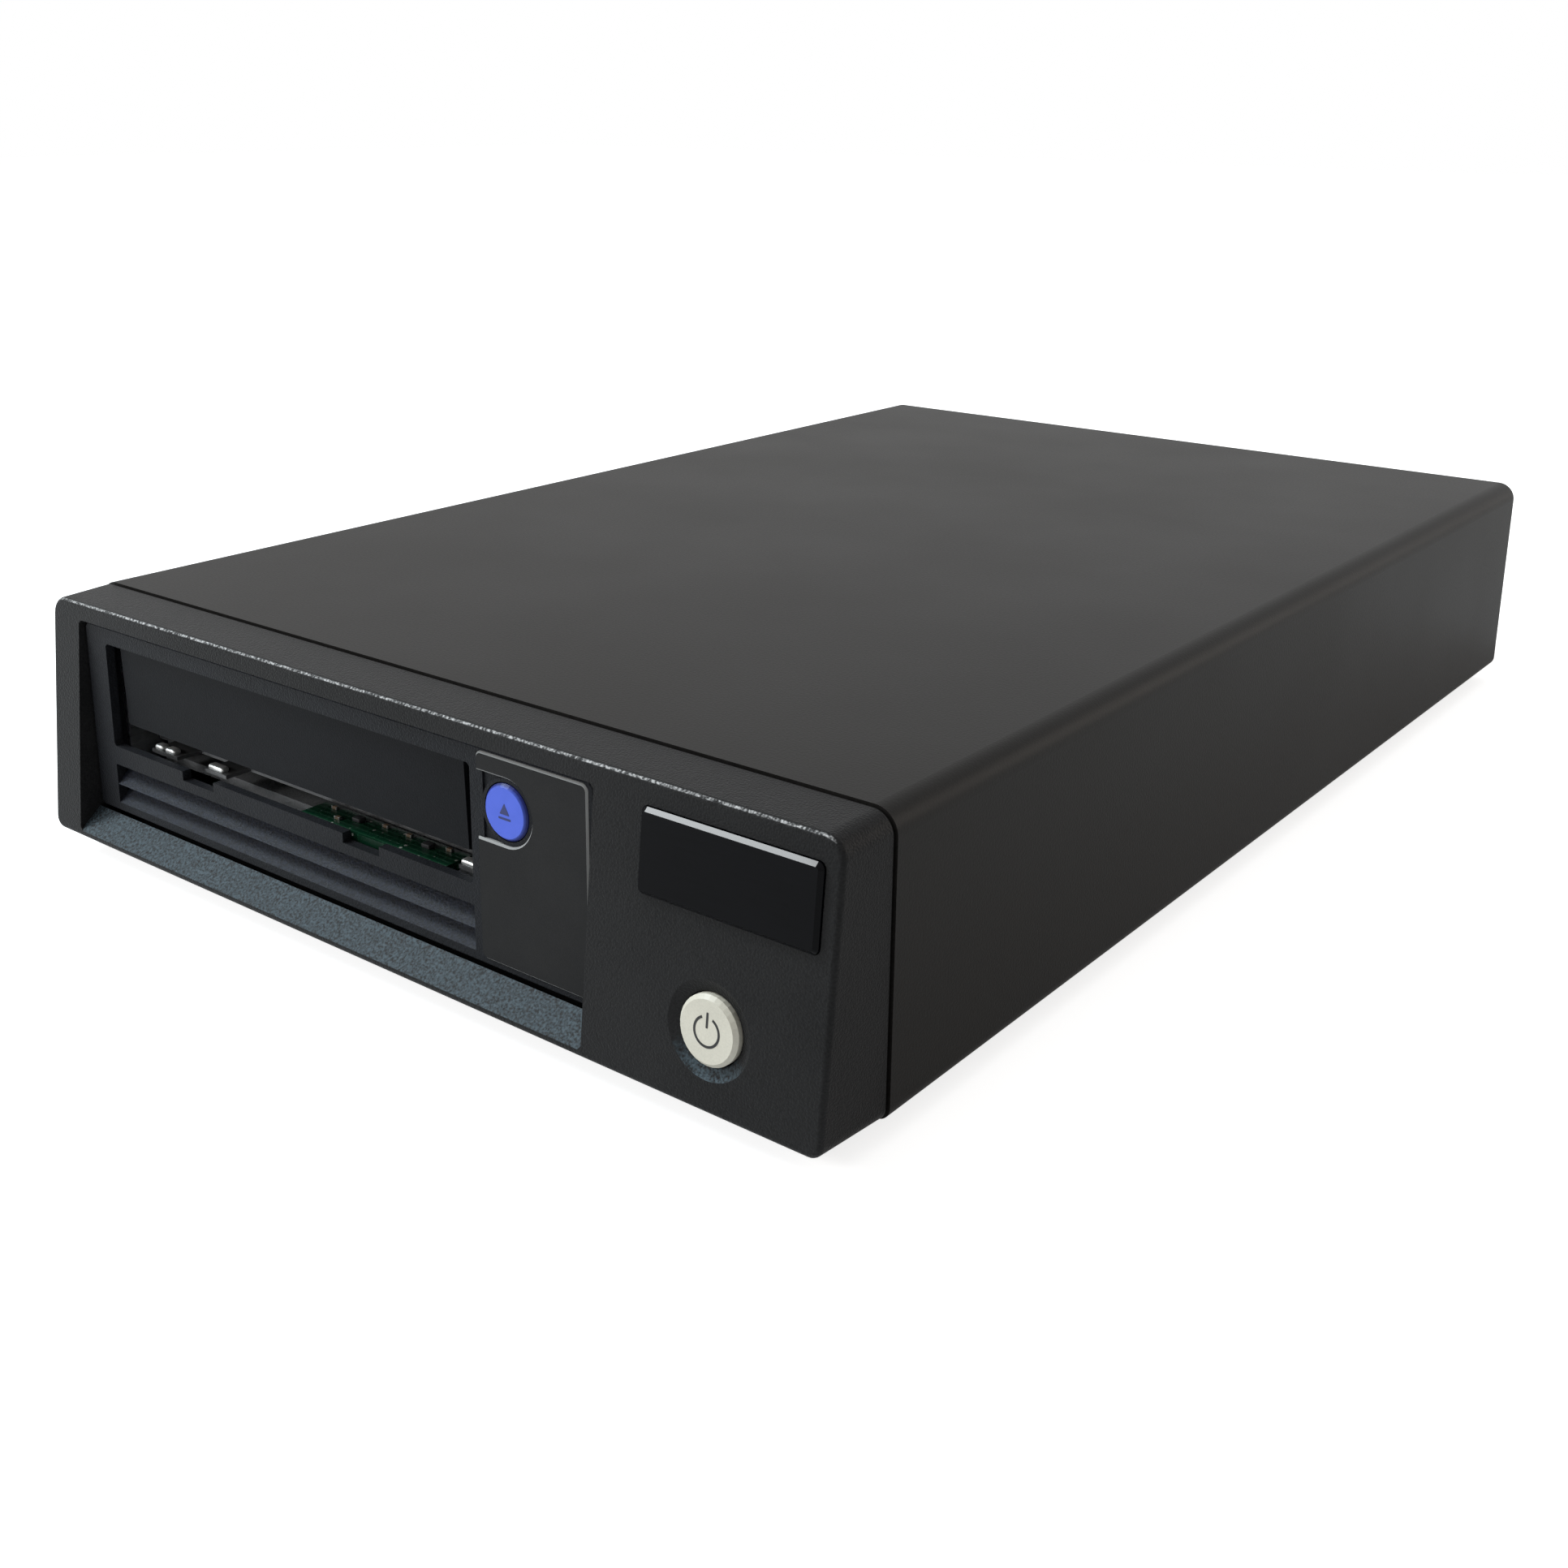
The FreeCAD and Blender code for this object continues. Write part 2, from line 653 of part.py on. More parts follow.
guide_back_y = button_y + guide_depth
bezel.pad("y", button_y + bezel_wall / 2, guide_back_y,
          flatted(0, 0, dish_radius + guide_wall, guide_sides), **facing(button_x, button_z, guide_back_y))
bowl = bezel.body.newObject("PartDesign::SubtractiveSphere", "button_dish")
bowl_radius = (dish_radius * dish_radius + dish_depth * dish_depth) / (dish_depth * 2)
bind(bowl, Radius=bowl_radius, Placement__Base__x=button_x,
     Placement__Base__y=button_y - (bowl_radius - dish_depth),
     Placement__Base__z=button_z + (bowl_radius - dish_depth) * front_slope)
bore_front_y = button_y - cut_reach
bezel.cut("y", bore_front_y, guide_back_y + cut_reach, circle(0, 0, button_radius + button_gap),
          **facing(button_x, button_z, bore_front_y))

# The badge lies in a shallow pocket and stands a little proud of the face.
badge_side = size("badge_side", 4.0)
badge_width = size("badge_width", 36.5)
badge_drop = size("badge_drop", 5.2)
badge_height = size("badge_height", 14.8)
badge_corner = size("badge_corner", 1.2)
badge_sunk = size("badge_sunk", 0.8)
badge_proud = size("badge_proud", 1.0)
badge_gap = size("badge_gap", 0.15)
glue_gap = size("glue_gap", 0.05)
badge_edge = size("badge_edge", 0.7)

badge_x = half_case - badge_side - badge_width / 2
badge_z = case_top - badge_drop - badge_height / 2
badge_y = front_at(badge_z)
pocket_front_y = badge_y - cut_reach
bezel.cut("y", pocket_front_y, badge_y + badge_sunk + glue_gap,
          rounded(-badge_width / 2 - badge_gap, badge_width / 2 + badge_gap,
                  -badge_height / 2 - badge_gap, badge_height / 2 + badge_gap, badge_corner + badge_gap),
          **facing(badge_x, badge_z, pocket_front_y))

badge = Piece("badge_plate", badge_x, badge_y, badge_z, turn=face_turn)
badge.pad("z", -badge_sunk, badge_proud, rounded(-badge_width / 2, badge_width / 2,
                                                 -badge_height / 2, badge_height / 2, badge_corner))
badge.soften(badge_edge, lambda edge: near(edge.CenterOfMass.z, badge_proud), kind="Chamfer")

# The button is one moulding: crowned cap, retaining flange and stem.
stem_radius = size("stem_radius", 1.6)
stem_length = size("stem_length", 4.0)
button_crown = size("button_crown", 0.7)

button = Piece("power_button", button_x, button_y, button_z, turn=face_turn)
flange_top = button_proud - button_length
flange_floor = flange_top - button_flange_depth
button.pad("z", flange_top, button_proud, flatted(0, 0, button_radius, cap_sides))
button.soften(button_crown, lambda edge: near(edge.CenterOfMass.z, button_proud), kind="Chamfer")
button.pad("z", flange_floor, flange_top, flatted(0, 0, button_radius + button_flange, guide_sides))
button.pad("z", flange_floor - stem_length, flange_floor, flatted(0, 0, stem_radius))

# A push switch on a small board behind the button takes the stem.
switch_size = size("switch_size", 8.0)
switch_length = size("switch_length", 6.2)
switch_bore = size("switch_bore", 0.4)
switch_board_width = size("switch_board_width", 24.0)
switch_board_height = size("switch_board_height", 16.0)
switch_reserve = size("switch_reserve", 0.5)
board_thickness = size("board_thickness", 1.6)

switch_top = flange_floor - button_travel - switch_reserve
switch_floor = switch_top - switch_length
switch = Piece("power_switch", button_x, button_y, button_z, turn=face_turn)
switch.pad("z", switch_floor, switch_top,
           rectangle(-switch_size / 2, switch_size / 2, -switch_size / 2, switch_size / 2))
switch.pad("z", switch_floor - board_thickness, switch_floor, rectangle(
    -switch_board_width / 2, switch_board_width / 2,
    -switch_board_height / 2, switch_board_height / 2))
switch.cut("z", flange_floor - stem_length - button_travel - switch_reserve, switch_top,
           flatted_bore(0, 0, stem_radius + switch_bore))
switch_post = size("switch_post", 1.8)
switch_post_inset = size("switch_post_inset", 2.6)
posts_back_y = button_y - switch_floor - sheet_gap
post_spots = [(side * (switch_board_width / 2 - switch_post_inset),
               up * (switch_board_height / 2 - switch_post_inset)) for side in (-1, 1) for up in (-1, 1)]
bezel.pad("y", button_y + bezel_wall / 2, posts_back_y,
          *[flatted(x, z, switch_post) for x, z in post_spots], **facing(button_x, button_z, posts_back_y))


# ------------------------------------------------------ the back of the case

rear_edge_gap = size("rear_edge_gap", 0.2)
fan_side = size("fan_side", 32.5)
fan_z = size("fan_z", 27.0)
fan_size = size("fan_size", 40.0)
fan_depth = size("fan_depth", 20.0)
fan_hole_spacing = size("fan_hole_spacing", 32.0)
fan_bore = size("fan_bore", 18.9)
grille_slot = size("grille_slot", 2.6)
grille_step = size("grille_step", 4.6)
grille_height = size("grille_height", 29.0)
grille_side_height = size("grille_side_height", 20.0)
inlet_side = size("inlet_side", 24.5)
inlet_z = size("inlet_z", 28.0)
inlet_body_width = size("inlet_body_width", 27.0)
inlet_body_height = size("inlet_body_height", 19.8)
inlet_flange = size("inlet_flange", 2.2)
inlet_depth = size("inlet_depth", 20.0)
inlet_gap = size("inlet_gap", 0.15)
port_x = size("port_x", -8.0)
port_spacing = size("port_spacing", 36.0)
port_width = size("port_width", 25.4)
port_height = size("port_height", 9.2)
port_z = size("port_z", 26.0)
port_gap = size("port_gap", 0.3)

fan_x = fan_side - half_case
inlet_x = half_case - inlet_side
fan_centre_z = case_bottom + fan_z
inlet_centre_z = case_bottom + inlet_z
port_centre_z = case_bottom + port_z
rear_front = rear_y - case_sheet
port_centres = [port_x, port_x + port_spacing]

rear = Piece("rear_panel")
half_rear = half_case - case_sheet - rear_edge_gap
rear.pad("y", rear_front, rear_y, rounded(
    -half_rear, half_rear, tray_low + rear_edge_gap, case_top - case_sheet - rear_edge_gap,
    case_top_corner - case_sheet))
rear.cut("y", rear_front, rear_y, rectangle(
    inlet_x - inlet_body_width / 2 - inlet_gap, inlet_x + inlet_body_width / 2 + inlet_gap,
    inlet_centre_z - inlet_body_height / 2 - inlet_gap,
    inlet_centre_z + inlet_body_height / 2 + inlet_gap))
rear.cut("y", rear_front, rear_y, *[rectangle(
    centre - port_width / 2 - port_gap, centre + port_width / 2 + port_gap,
    port_centre_z - port_height / 2 - port_gap, port_centre_z + port_height / 2 + port_gap)
    for centre in port_centres])
fan_place = {"centre": (fan_x, fan_centre_z)}
for place in range(-3, 4):
    slot_x = grille_step * place
    slot_half_height = (grille_height if abs(place) < 3 else grille_side_height) / 2
    rear.cut("y", rear_front, rear_y, rectangle(
        slot_x - grille_slot / 2, slot_x + grille_slot / 2, -slot_half_height, slot_half_height), **fan_place)
rear.cut("y", rear_front, rear_y, flatted_bore(fan_hole_spacing / 2, fan_hole_spacing / 2,
                                               screw_radius + screw_clearance), **fan_place)
rear.around(4)
# A row of upright slots lets air out beside the ports.
outlet_gap = size("outlet_gap", 30.0)
outlet_slot = size("outlet_slot", 2.4)
outlet_height = size("outlet_height", 26.0)
outlet_step = size("outlet_step", 5.0)
outlet_slots = 4
outlet_x = fan_x + outlet_gap
rear.cut("y", rear_front, rear_y, bevelled(
    outlet_x, outlet_x + outlet_slot, fan_centre_z - outlet_height / 2,
    fan_centre_z + outlet_height / 2, slot_end_bevel))
rear.along("H", outlet_step, outlet_slots)

# The mains inlet snaps into the panel: body, flange, socket and three blades.
socket_width = size("socket_width", 24.2)
socket_height = size("socket_height", 16.6)
socket_depth = size("socket_depth", 15.5)
socket_chamfer = size("socket_chamfer", 4.0)
blade_width = size("blade_width", 2.0)
blade_height = size("blade_height", 4.0)
blade_short = size("blade_short", 2.5)
blade_spacing = size("blade_spacing", 7.0)
earth_rise = size("earth_rise", 3.6)
live_drop = size("live_drop", 0.4)
tab_length = size("tab_length", 7.0)
tab_thickness = size("tab_thickness", 0.8)
inlet_corner = size("inlet_corner", 2.0)

inlet = Piece("power_inlet", inlet_x, rear_y, inlet_centre_z)
inlet.pad("y", -case_sheet - inlet_depth, 0, rectangle(
    -inlet_body_width / 2, inlet_body_width / 2, -inlet_body_height / 2, inlet_body_height / 2))
inlet.pad("y", 0, rear_overhang, bevelled(
    -inlet_body_width / 2 - inlet_flange, inlet_body_width / 2 + inlet_flange,
    -inlet_body_height / 2 - inlet_flange, inlet_body_height / 2 + inlet_flange, inlet_corner))
half_socket = socket_width / 2
half_socket_height = socket_height / 2
inlet.cut("y", rear_overhang - socket_depth, rear_overhang, outline(
    (-half_socket, -half_socket_height), (half_socket, -half_socket_height),
    (half_socket, half_socket_height - socket_chamfer),
    (half_socket - socket_chamfer, half_socket_height),
    (-half_socket + socket_chamfer, half_socket_height),
    (-half_socket, half_socket_height - socket_chamfer)))
blades = [(-1, -live_drop), (0, earth_rise), (1, -live_drop)]
inlet.pad("y", rear_overhang - socket_depth, rear_overhang - blade_short, *[rectangle(
    side * blade_spacing - blade_width / 2, side * blade_spacing + blade_width / 2,
    rise - blade_height / 2, rise + blade_height / 2) for side, rise in blades])
inlet.pad("y", -case_sheet - inlet_depth - tab_length, -case_sheet - inlet_depth, *[rectangle(
    side * blade_spacing - tab_thickness / 2, side * blade_spacing + tab_thickness / 2,
    rise - blade_height / 2, rise + blade_height / 2) for side, rise in blades])

# The fan screws to the panel. Its frame carries the motor on three ribs.
fan_wall_y = rear_front - fan_depth
motor_radius = size("motor_radius", 9.0)
motor_core = size("motor_core", 6.3)
motor_depth = size("motor_depth", 4.0)
fan_rib = size("fan_rib", 2.0)
fan_shaft = size("fan_shaft", 1.2)
running_gap = size("running_gap", 0.05)
fan_corner = size("fan_corner", 3.0)
shaft_end = size("shaft_end", 5.0)
rotor_clearance = size("rotor_clearance", 0.5)
wheel_sides = 20
hub_sides = 10

fan_frame = Piece("fan_frame", fan_x, fan_wall_y, fan_centre_z, axis=(1, 0, 0), turn=90)
half_fan = fan_size / 2
fan_frame.pad("z", -fan_depth, 0, bevelled(-half_fan, half_fan, -half_fan, half_fan, fan_corner),
              flatted_bore(0, 0, fan_bore, wheel_sides))
fan_frame.cut("z", -fan_depth, 0, flatted_bore(fan_hole_spacing / 2, fan_hole_spacing / 2, screw_radius))
fan_frame.around(4)
fan_frame.pad("z", -fan_rib, 0, flatted(0, 0, motor_radius, hub_sides))
fan_frame.pad("z", -fan_rib, 0, rectangle(
    motor_radius - fan_rib / 2, fan_bore + fan_rib / 2, -fan_rib / 2, fan_rib / 2))
fan_frame.around(3)
fan_frame.pad("z", -fan_rib - motor_depth, -fan_rib, flatted(0, 0, motor_core, hub_sides))
fan_frame.pad("z", -fan_depth + shaft_end, -fan_rib - motor_depth, circle(0, 0, fan_shaft))

# The rotor's cup runs over the motor on the shaft, with seven set blades.
rotor_radius = size("rotor_radius", 10.0)
rotor_blade_radius = size("rotor_blade_radius", 17.6)
rotor_blade_wall = size("rotor_blade_wall", 1.0)
rotor_blade_rise = size("rotor_blade_rise", 11.0)
rotor_blade_sweep = size("rotor_blade_sweep", 7.0)
rotor_top = size("rotor_top", 17.0)
rotor_skin = size("rotor_skin", 1.2)
rotor_boss = size("rotor_boss", 3.0)
rotor_blades = 7

rotor = Piece("fan_rotor", fan_x, fan_wall_y, fan_centre_z, axis=(1, 0, 0), turn=90)
rotor_low = -rotor_top
rotor_open = -fan_rib - rotor_clearance
boss_end = -fan_rib - motor_depth - rotor_clearance
cup_inside = rotor_radius - rotor_skin
rotor.pad("z", rotor_low, rotor_open, flatted(0, 0, rotor_radius, wheel_sides))
rotor.cut("z", boss_end, rotor_open, flatted(0, 0, cup_inside, wheel_sides))
rotor.cut("z", rotor_low + rotor_skin, boss_end, flatted(0, 0, cup_inside, wheel_sides),
          flatted(0, 0, rotor_boss, hub_sides))
rotor.cut("z", rotor_low, boss_end, flatted_bore(0, 0, fan_shaft + running_gap, hub_sides))
blade_foot = rotor_open - rotor_clearance
rotor.pad("x", rotor_radius - rotor_skin / 2, rotor_blade_radius, outline(
    (-rotor_blade_sweep / 2, blade_foot), (-rotor_blade_sweep / 2 + rotor_blade_wall, blade_foot),
    (rotor_blade_sweep / 2, blade_foot - rotor_blade_rise),
    (rotor_blade_sweep / 2 - rotor_blade_wall, blade_foot - rotor_blade_rise)))
rotor.around(rotor_blades, "Z")

fan_screw_length = size("fan_screw_length", 8.0)
screw_group("fan_screws", [("y", fan_x + side * fan_hole_spacing / 2, rear_y,
                            fan_centre_z + up * fan_hole_spacing / 2, fan_screw_length, -1)
                           for side in (-1, 1) for up in (-1, 1)])


# --------------------------------------------------------- power supply

# An open board on four posts, with its transformer, capacitors and heat sink.
post_radius = size("post_radius", 2.5)
post_height = size("post_height", 7.0)
supply_side = size("supply_side", 49.5)
supply_width = size("supply_width", 46.0)
supply_front = size("supply_front", 30.0)
supply_length = size("supply_length", 96.0)
board_hole_inset = size("board_hole_inset", 4.5)

supply_left = half_case - supply_side
board_low = tray_top + post_height
board_top = board_low + board_thickness
supply_right = supply_left + supply_width
supply_back = supply_front + supply_length


def board_holes(left, right, front, back):
    """The four fixing places near a board's corners."""
    return [(x, y) for x in (left + board_hole_inset, right - board_hole_inset)
            for y in (front + board_hole_inset, back - board_hole_inset)]


supply_holes = board_holes(supply_left, supply_right, supply_front, supply_back)
supply = Piece("supply_board")
supply.pad("z", board_low, board_top, rectangle(supply_left, supply_right, supply_front, supply_back),
           *[flatted_bore(x, y, screw_radius + screw_clearance) for x, y in supply_holes])

transformer_size = size("transformer_size", 26.0)
transformer_height = size("transformer_height", 22.0)
core_overlap = size("core_overlap", 4.0)
transformer_margin = size("transformer_margin", 6.0)
transformer_inset = size("transformer_inset", 18.4)
transformer_place = size("transformer_place", 43.2)
transformer_x = supply_left + transformer_inset
transformer_y = supply_front + transformer_place
half_core = transformer_size / 2
joined("supply_transformer", [
    solid_block("core", (transformer_x - half_core, transformer_x + half_core),
                (transformer_y - half_core + core_overlap, transformer_y + half_core - core_overlap),
                (board_top, board_top + transformer_height)),
    solid_block("winding",
                (transformer_x - half_core + core_overlap, transformer_x + half_core - core_overlap),
                (transformer_y - half_core, transformer_y + half_core),
                (board_top + core_overlap, board_top + transformer_height - core_overlap))])

capacitor_radius = size("capacitor_radius", 8.0)
capacitor_height = size("capacitor_height", 25.0)
small_capacitor = size("small_capacitor", 4.0)
small_height = size("small_height", 12.5)
small_inset = size("small_inset", 8.0)
small_step = size("small_step", 10.4)
small_capacitors = 3
capacitor_y = supply_back - capacitor_radius - transformer_margin
joined("supply_capacitors", [
    solid_rod("main_capacitor", "z", capacitor_radius, transformer_x, capacitor_y, board_top,
              capacitor_height, wheel_sides)] + [
    solid_rod("small_capacitor_%d" % k, "z", small_capacitor,
              supply_left + small_inset + small_step * k, supply_front + small_capacitor * 4,
              board_top, small_height, hub_sides) for k in range(small_capacitors)])

sink_wall = size("sink_wall", 2.0)
sink_fin = size("sink_fin", 1.2)
sink_fin_length = size("sink_fin_length", 6.0)
sink_height = size("sink_height", 24.0)
sink_length = size("sink_length", 50.0)
sink_fin_step = size("sink_fin_step", 8.0)
sink_lift = size("sink_lift", 2.0)
sink_inset = size("sink_inset", 4.0)
sink_front = size("sink_front", 18.0)
sink_fins = 6
sink_x = supply_right - sink_inset
sink_y = supply_front + sink_front
heat_sink = Piece("supply_heat_sink")
heat_sink.pad("z", board_top, board_top + sink_height, rectangle(
    sink_x - sink_wall, sink_x, sink_y, sink_y + sink_length))
heat_sink.pad("z", board_top + sink_lift, board_top + sink_height, rectangle(
    sink_x - sink_wall - sink_fin_length, sink_x - sink_wall, sink_y, sink_y + sink_fin))
heat_sink.along("V", sink_fin_step, sink_fins)

# -------------------------------------------------------- data ports

port_depth = size("port_depth", 18.0)
port_wall = size("port_wall", 0.7)
port_back_wall = size("port_back_wall", 3.0)
port_tongue = size("port_tongue", 1.2)
port_tongue_inset = size("port_tongue_inset", 3.0)
port_proud = size("port_proud", 1.4)
port_board_length = size("port_board_length", 46.0)
port_board_margin = size("port_board_margin", 8.0)
port_board_gap = size("port_board_gap", 1.0)

port_floor = port_centre_z - port_height / 2
for centre, side_name in zip(port_centres, ("left", "right")):
    port = Piece("data_port_" + side_name, centre, rear_y, port_centre_z)
    port.pad("y", port_proud - port_depth, port_proud, rectangle(
        -port_width / 2, port_width / 2, -port_height / 2, port_height / 2))
    port.cut("y", port_proud - port_depth + port_back_wall, port_proud, rectangle(
        -port_width / 2 + port_wall, port_width / 2 - port_wall,
        -port_height / 2 + port_wall, port_height / 2 - port_wall))
    port.pad("y", port_proud - port_depth, port_proud - port_tongue_inset, rectangle(
        -port_width / 2 + port_tongue_inset, port_width / 2 - port_tongue_inset,
        port_height / 2 - port_tongue_inset - port_tongue, port_height / 2 - port_tongue_inset))

port_board_left = port_x - port_width / 2 - port_board_margin
port_board_right = port_x + port_spacing + port_width / 2 + port_board_margin
port_board_back = rear_front - port_board_gap
port_board_front = port_board_back - port_board_length
port_board_low = port_floor - board_thickness
port_holes = board_holes(port_board_left, port_board_right, port_board_front, port_board_back)
port_board = Piece("port_board")
port_board.pad("z", port_board_low, port_floor, rectangle(
    port_board_left, port_board_right, port_board_front, port_board_back),
    *[flatted_bore(x, y, screw_radius + screw_clearance) for x, y in port_holes])
# The cable headers stand at the front edge of the board.
header_width = size("header_width", 20.0)
header_depth = size("header_depth", 7.0)
header_height = size("header_height", 6.0)
port_board.pad("z", port_floor, port_floor + header_height, *[rectangle(
    centre - header_width / 2, centre + header_width / 2,
    port_board_front + port_board_gap, port_board_front + port_board_gap + header_depth)
    for centre in port_centres])

# Threaded posts on the tray carry both boards, with a screw in each.
board_screw_length = size("board_screw_length", 5.0)
post_places = []
for holes, under in ((supply_holes, board_low), (port_holes, port_board_low)):
    post_places.extend([(x, y, under) for x, y in holes])
carved("board_posts",
       [solid_rod("post_%d" % k, "z", post_radius, x, y, tray_top, under - tray_top)
        for k, (x, y, under) in enumerate(post_places)],
       [solid_rod("post_bore_%d" % k, "z", screw_radius, x, y, under - board_screw_length,
                  board_screw_length) for k, (x, y, under) in enumerate(post_places)])
screw_group("board_screws", [("z", x, y, under + board_thickness, board_screw_length, -1)
                             for x, y, under in post_places])


# ------------------------------------------------------- the drive's body

# The drive is a half-height module. Its pieces are drawn in its own frame:
# X from its middle, Y back from its face, Z up from its floor.
drive_lift = size("drive_lift", 7.2)
drive_height = size("drive_height", 41.3)
drive_depth = size("drive_depth", 205.0)
drive_sheet = size("drive_sheet", 1.2)
lid_sheet = size("lid_sheet", 0.8)
drive_bezel_low = size("drive_bezel_low", 0.2)
drive_bezel_height = size("drive_bezel_height", 41.8)
drive_bezel_depth = size("drive_bezel_depth", 6.5)
drive_bezel_wall = size("drive_bezel_wall", 2.0)
drive_bezel_rim = size("drive_bezel_rim", 1.4)
drive_bezel_corner = size("drive_bezel_corner", 1.0)
drive_bezel_edge = size("drive_bezel_edge", 0.35)

drive_floor_z = case_bottom + drive_lift
drive_place = (-drive_offset, drive_face_y, drive_floor_z)
drive_bezel_top = drive_bezel_low + drive_bezel_height
lid_low = drive_height - lid_sheet

# Chassis: a folded tray, open in front, with a back wall.
side_screw_height = size("side_screw_height", 10.0)
side_screw_front = size("side_screw_front", 47.0)
side_screw_rear = size("side_screw_rear", 126.5)
chassis = Piece("drive_chassis", *drive_place)
chassis.pad("y", drive_bezel_depth, drive_depth, outline(
    (-half_drive, 0), (half_drive, 0), (half_drive, lid_low), (half_drive - drive_sheet, lid_low),
    (half_drive - drive_sheet, drive_sheet), (-half_drive + drive_sheet, drive_sheet),
    (-half_drive + drive_sheet, lid_low), (-half_drive, lid_low)))
chassis.pad("y", drive_depth - drive_sheet, drive_depth, rectangle(
    -half_drive, half_drive, 0, lid_low))
side_screw_rows = [side_screw_front, side_screw_rear]
chassis.cut("x", -half_drive, half_drive, *[flatted_bore(row, side_screw_height, screw_radius)
                                           for row in side_screw_rows])
drive_plug_width = size("drive_plug_width", 42.0)
drive_plug_height = size("drive_plug_height", 6.4)
drive_plug_depth = size("drive_plug_depth", 7.0)
drive_plug_x = size("drive_plug_x", 38.0)
drive_plug_wall = size("drive_plug_wall", 1.2)
drive_plug_end = size("drive_plug_end", 2.0)
drive_plug_proud = size("drive_plug_proud", 1.0)
drive_plug_corner = size("drive_plug_corner", 0.8)
main_board_low = size("main_board_low", 3.2)
main_board_top = main_board_low + board_thickness
chassis.cut("y", drive_depth - drive_sheet, drive_depth, rectangle(
    drive_plug_x - drive_plug_width / 2 - port_gap, drive_plug_x + drive_plug_width / 2 + port_gap,
    main_board_top - port_gap, main_board_top + drive_plug_height + port_gap))

# Lid: a flat sheet with a raised panel over the take-up reel.
lid_panel_rise = size("lid_panel_rise", 0.6)
lid_panel_inset = size("lid_panel_inset", 14.0)
lid_panel_front = size("lid_panel_front", 106.0)
lid_panel_corner = size("lid_panel_corner", 6.0)
lid = Piece("drive_lid", *drive_place)
lid.pad("z", lid_low, drive_height, rectangle(
    -half_drive, half_drive, drive_bezel_depth, drive_depth))
lid.pad("z", drive_height, drive_height + lid_panel_rise, bevelled(
    -half_drive + lid_panel_inset, half_drive - lid_panel_inset,
    lid_panel_front, drive_depth - lid_panel_inset, lid_panel_corner))
lid_screw_inset = size("lid_screw_inset", 6.0)
lid_lug = size("lid_lug", 4.0)
lid_spots = [(side * (half_drive - lid_screw_inset), row) for side in (-1, 1)
             for row in (drive_bezel_depth + lid_screw_inset, drive_depth - lid_screw_inset)]
lid.cut("z", lid_low, drive_height,
        *[flatted_bore(x, y, screw_radius + screw_clearance) for x, y in lid_spots])
# Lugs folded in from the chassis walls take the lid screws.
lug_reach = half_drive - lid_screw_inset - lid_lug
for x, y in lid_spots:
    ends = (-half_drive, -lug_reach) if x.value < 0 else (lug_reach, half_drive)
    chassis.pad("z", lid_low - drive_sheet, lid_low, rectangle(*ends, y - lid_lug, y + lid_lug))
chassis.cut("z", lid_low - drive_sheet, lid_low,
            *[flatted_bore(x, y, screw_radius) for x, y in lid_spots])
lid_screw_length = size("lid_screw_length", 2.4)
screw_group("lid_screws", [("z", x, y, drive_height, lid_screw_length, -1) for x, y in lid_spots],
            drive_place)

# Side brackets hold the drive above the tray.
bracket_sheet = size("bracket_sheet", 1.2)
bracket_foot = size("bracket_foot", 9.0)
bracket_front = size("bracket_front", 24.0)
bracket_length = size("bracket_length", 130.0)
bracket_height = size("bracket_height", 24.0)
bracket_gap = size("bracket_gap", 0.1)
bracket_low = tray_top - drive_floor_z
for side, side_name in ((-1, "left"), (1, "right")):
    bracket = Piece("drive_bracket_" + side_name, *drive_place)
    near_side = side * (half_drive + bracket_gap)
    far_side = side * (half_drive + bracket_gap + bracket_sheet)
    foot_side = side * (half_drive + bracket_gap + bracket_foot)
    bracket.pad("y", bracket_front, bracket_front + bracket_length, outline(
        (near_side, bracket_low), (near_side, bracket_low + bracket_height),
        (far_side, bracket_low + bracket_height), (far_side, bracket_low + bracket_sheet),
        (foot_side, bracket_low + bracket_sheet), (foot_side, bracket_low)))
    low_x = near_side if side > 0 else far_side
    high_x = far_side if side > 0 else near_side
    bracket.cut("x", low_x, high_x, *[
        flatted_bore(row, side_screw_height, screw_radius + screw_clearance) for row in side_screw_rows])
drive_screw_length = size("drive_screw_length", 4.0)
drive_screws = []
for side in (-1, 1):
    for row in side_screw_rows:
        head_seat = side * (half_drive + bracket_gap + bracket_sheet)
        drive_screws.append(("x", head_seat, row, side_screw_height, drive_screw_length, -side))
screw_group("drive_screws", drive_screws, drive_place)

# Main circuit board with its larger chips and the connector at the back.
board_side_gap = size("board_side_gap", 1.5)
board_front = size("board_front", 14.0)
board_back_gap = size("board_back_gap", 1.0)
deck_leg_radius = size("deck_leg_radius", 3.0)
leg_gap = size("leg_gap", 0.5)
deck_low = size("deck_low", 8.6)
deck_thickness = size("deck_thickness", 2.0)
leg_inset_x = size("leg_inset_x", 9.0)
leg_front = size("leg_front", 26.0)
leg_rear = size("leg_rear", 16.0)
chip_height = size("chip_height", 1.6)
deck_top = deck_low + deck_thickness
leg_spots = [(side * (half_drive - leg_inset_x), row) for side in (-1, 1)
             for row in (leg_front, drive_depth / 2, drive_depth - leg_rear)]
main_board = Piece("drive_circuit_board", *drive_place)
main_board.pad("z", main_board_low, main_board_top, rectangle(
    -half_drive + drive_sheet + board_side_gap, half_drive - drive_sheet - board_side_gap,
    board_front, drive_depth - drive_sheet - board_back_gap),
    *[flatted_bore(x, y, deck_leg_radius + leg_gap) for x, y in leg_spots])
main_chip = size("main_chip", 22.0)
main_chip_x = size("main_chip_x", 41.0)
chip_row = size("chip_row", 107.0)
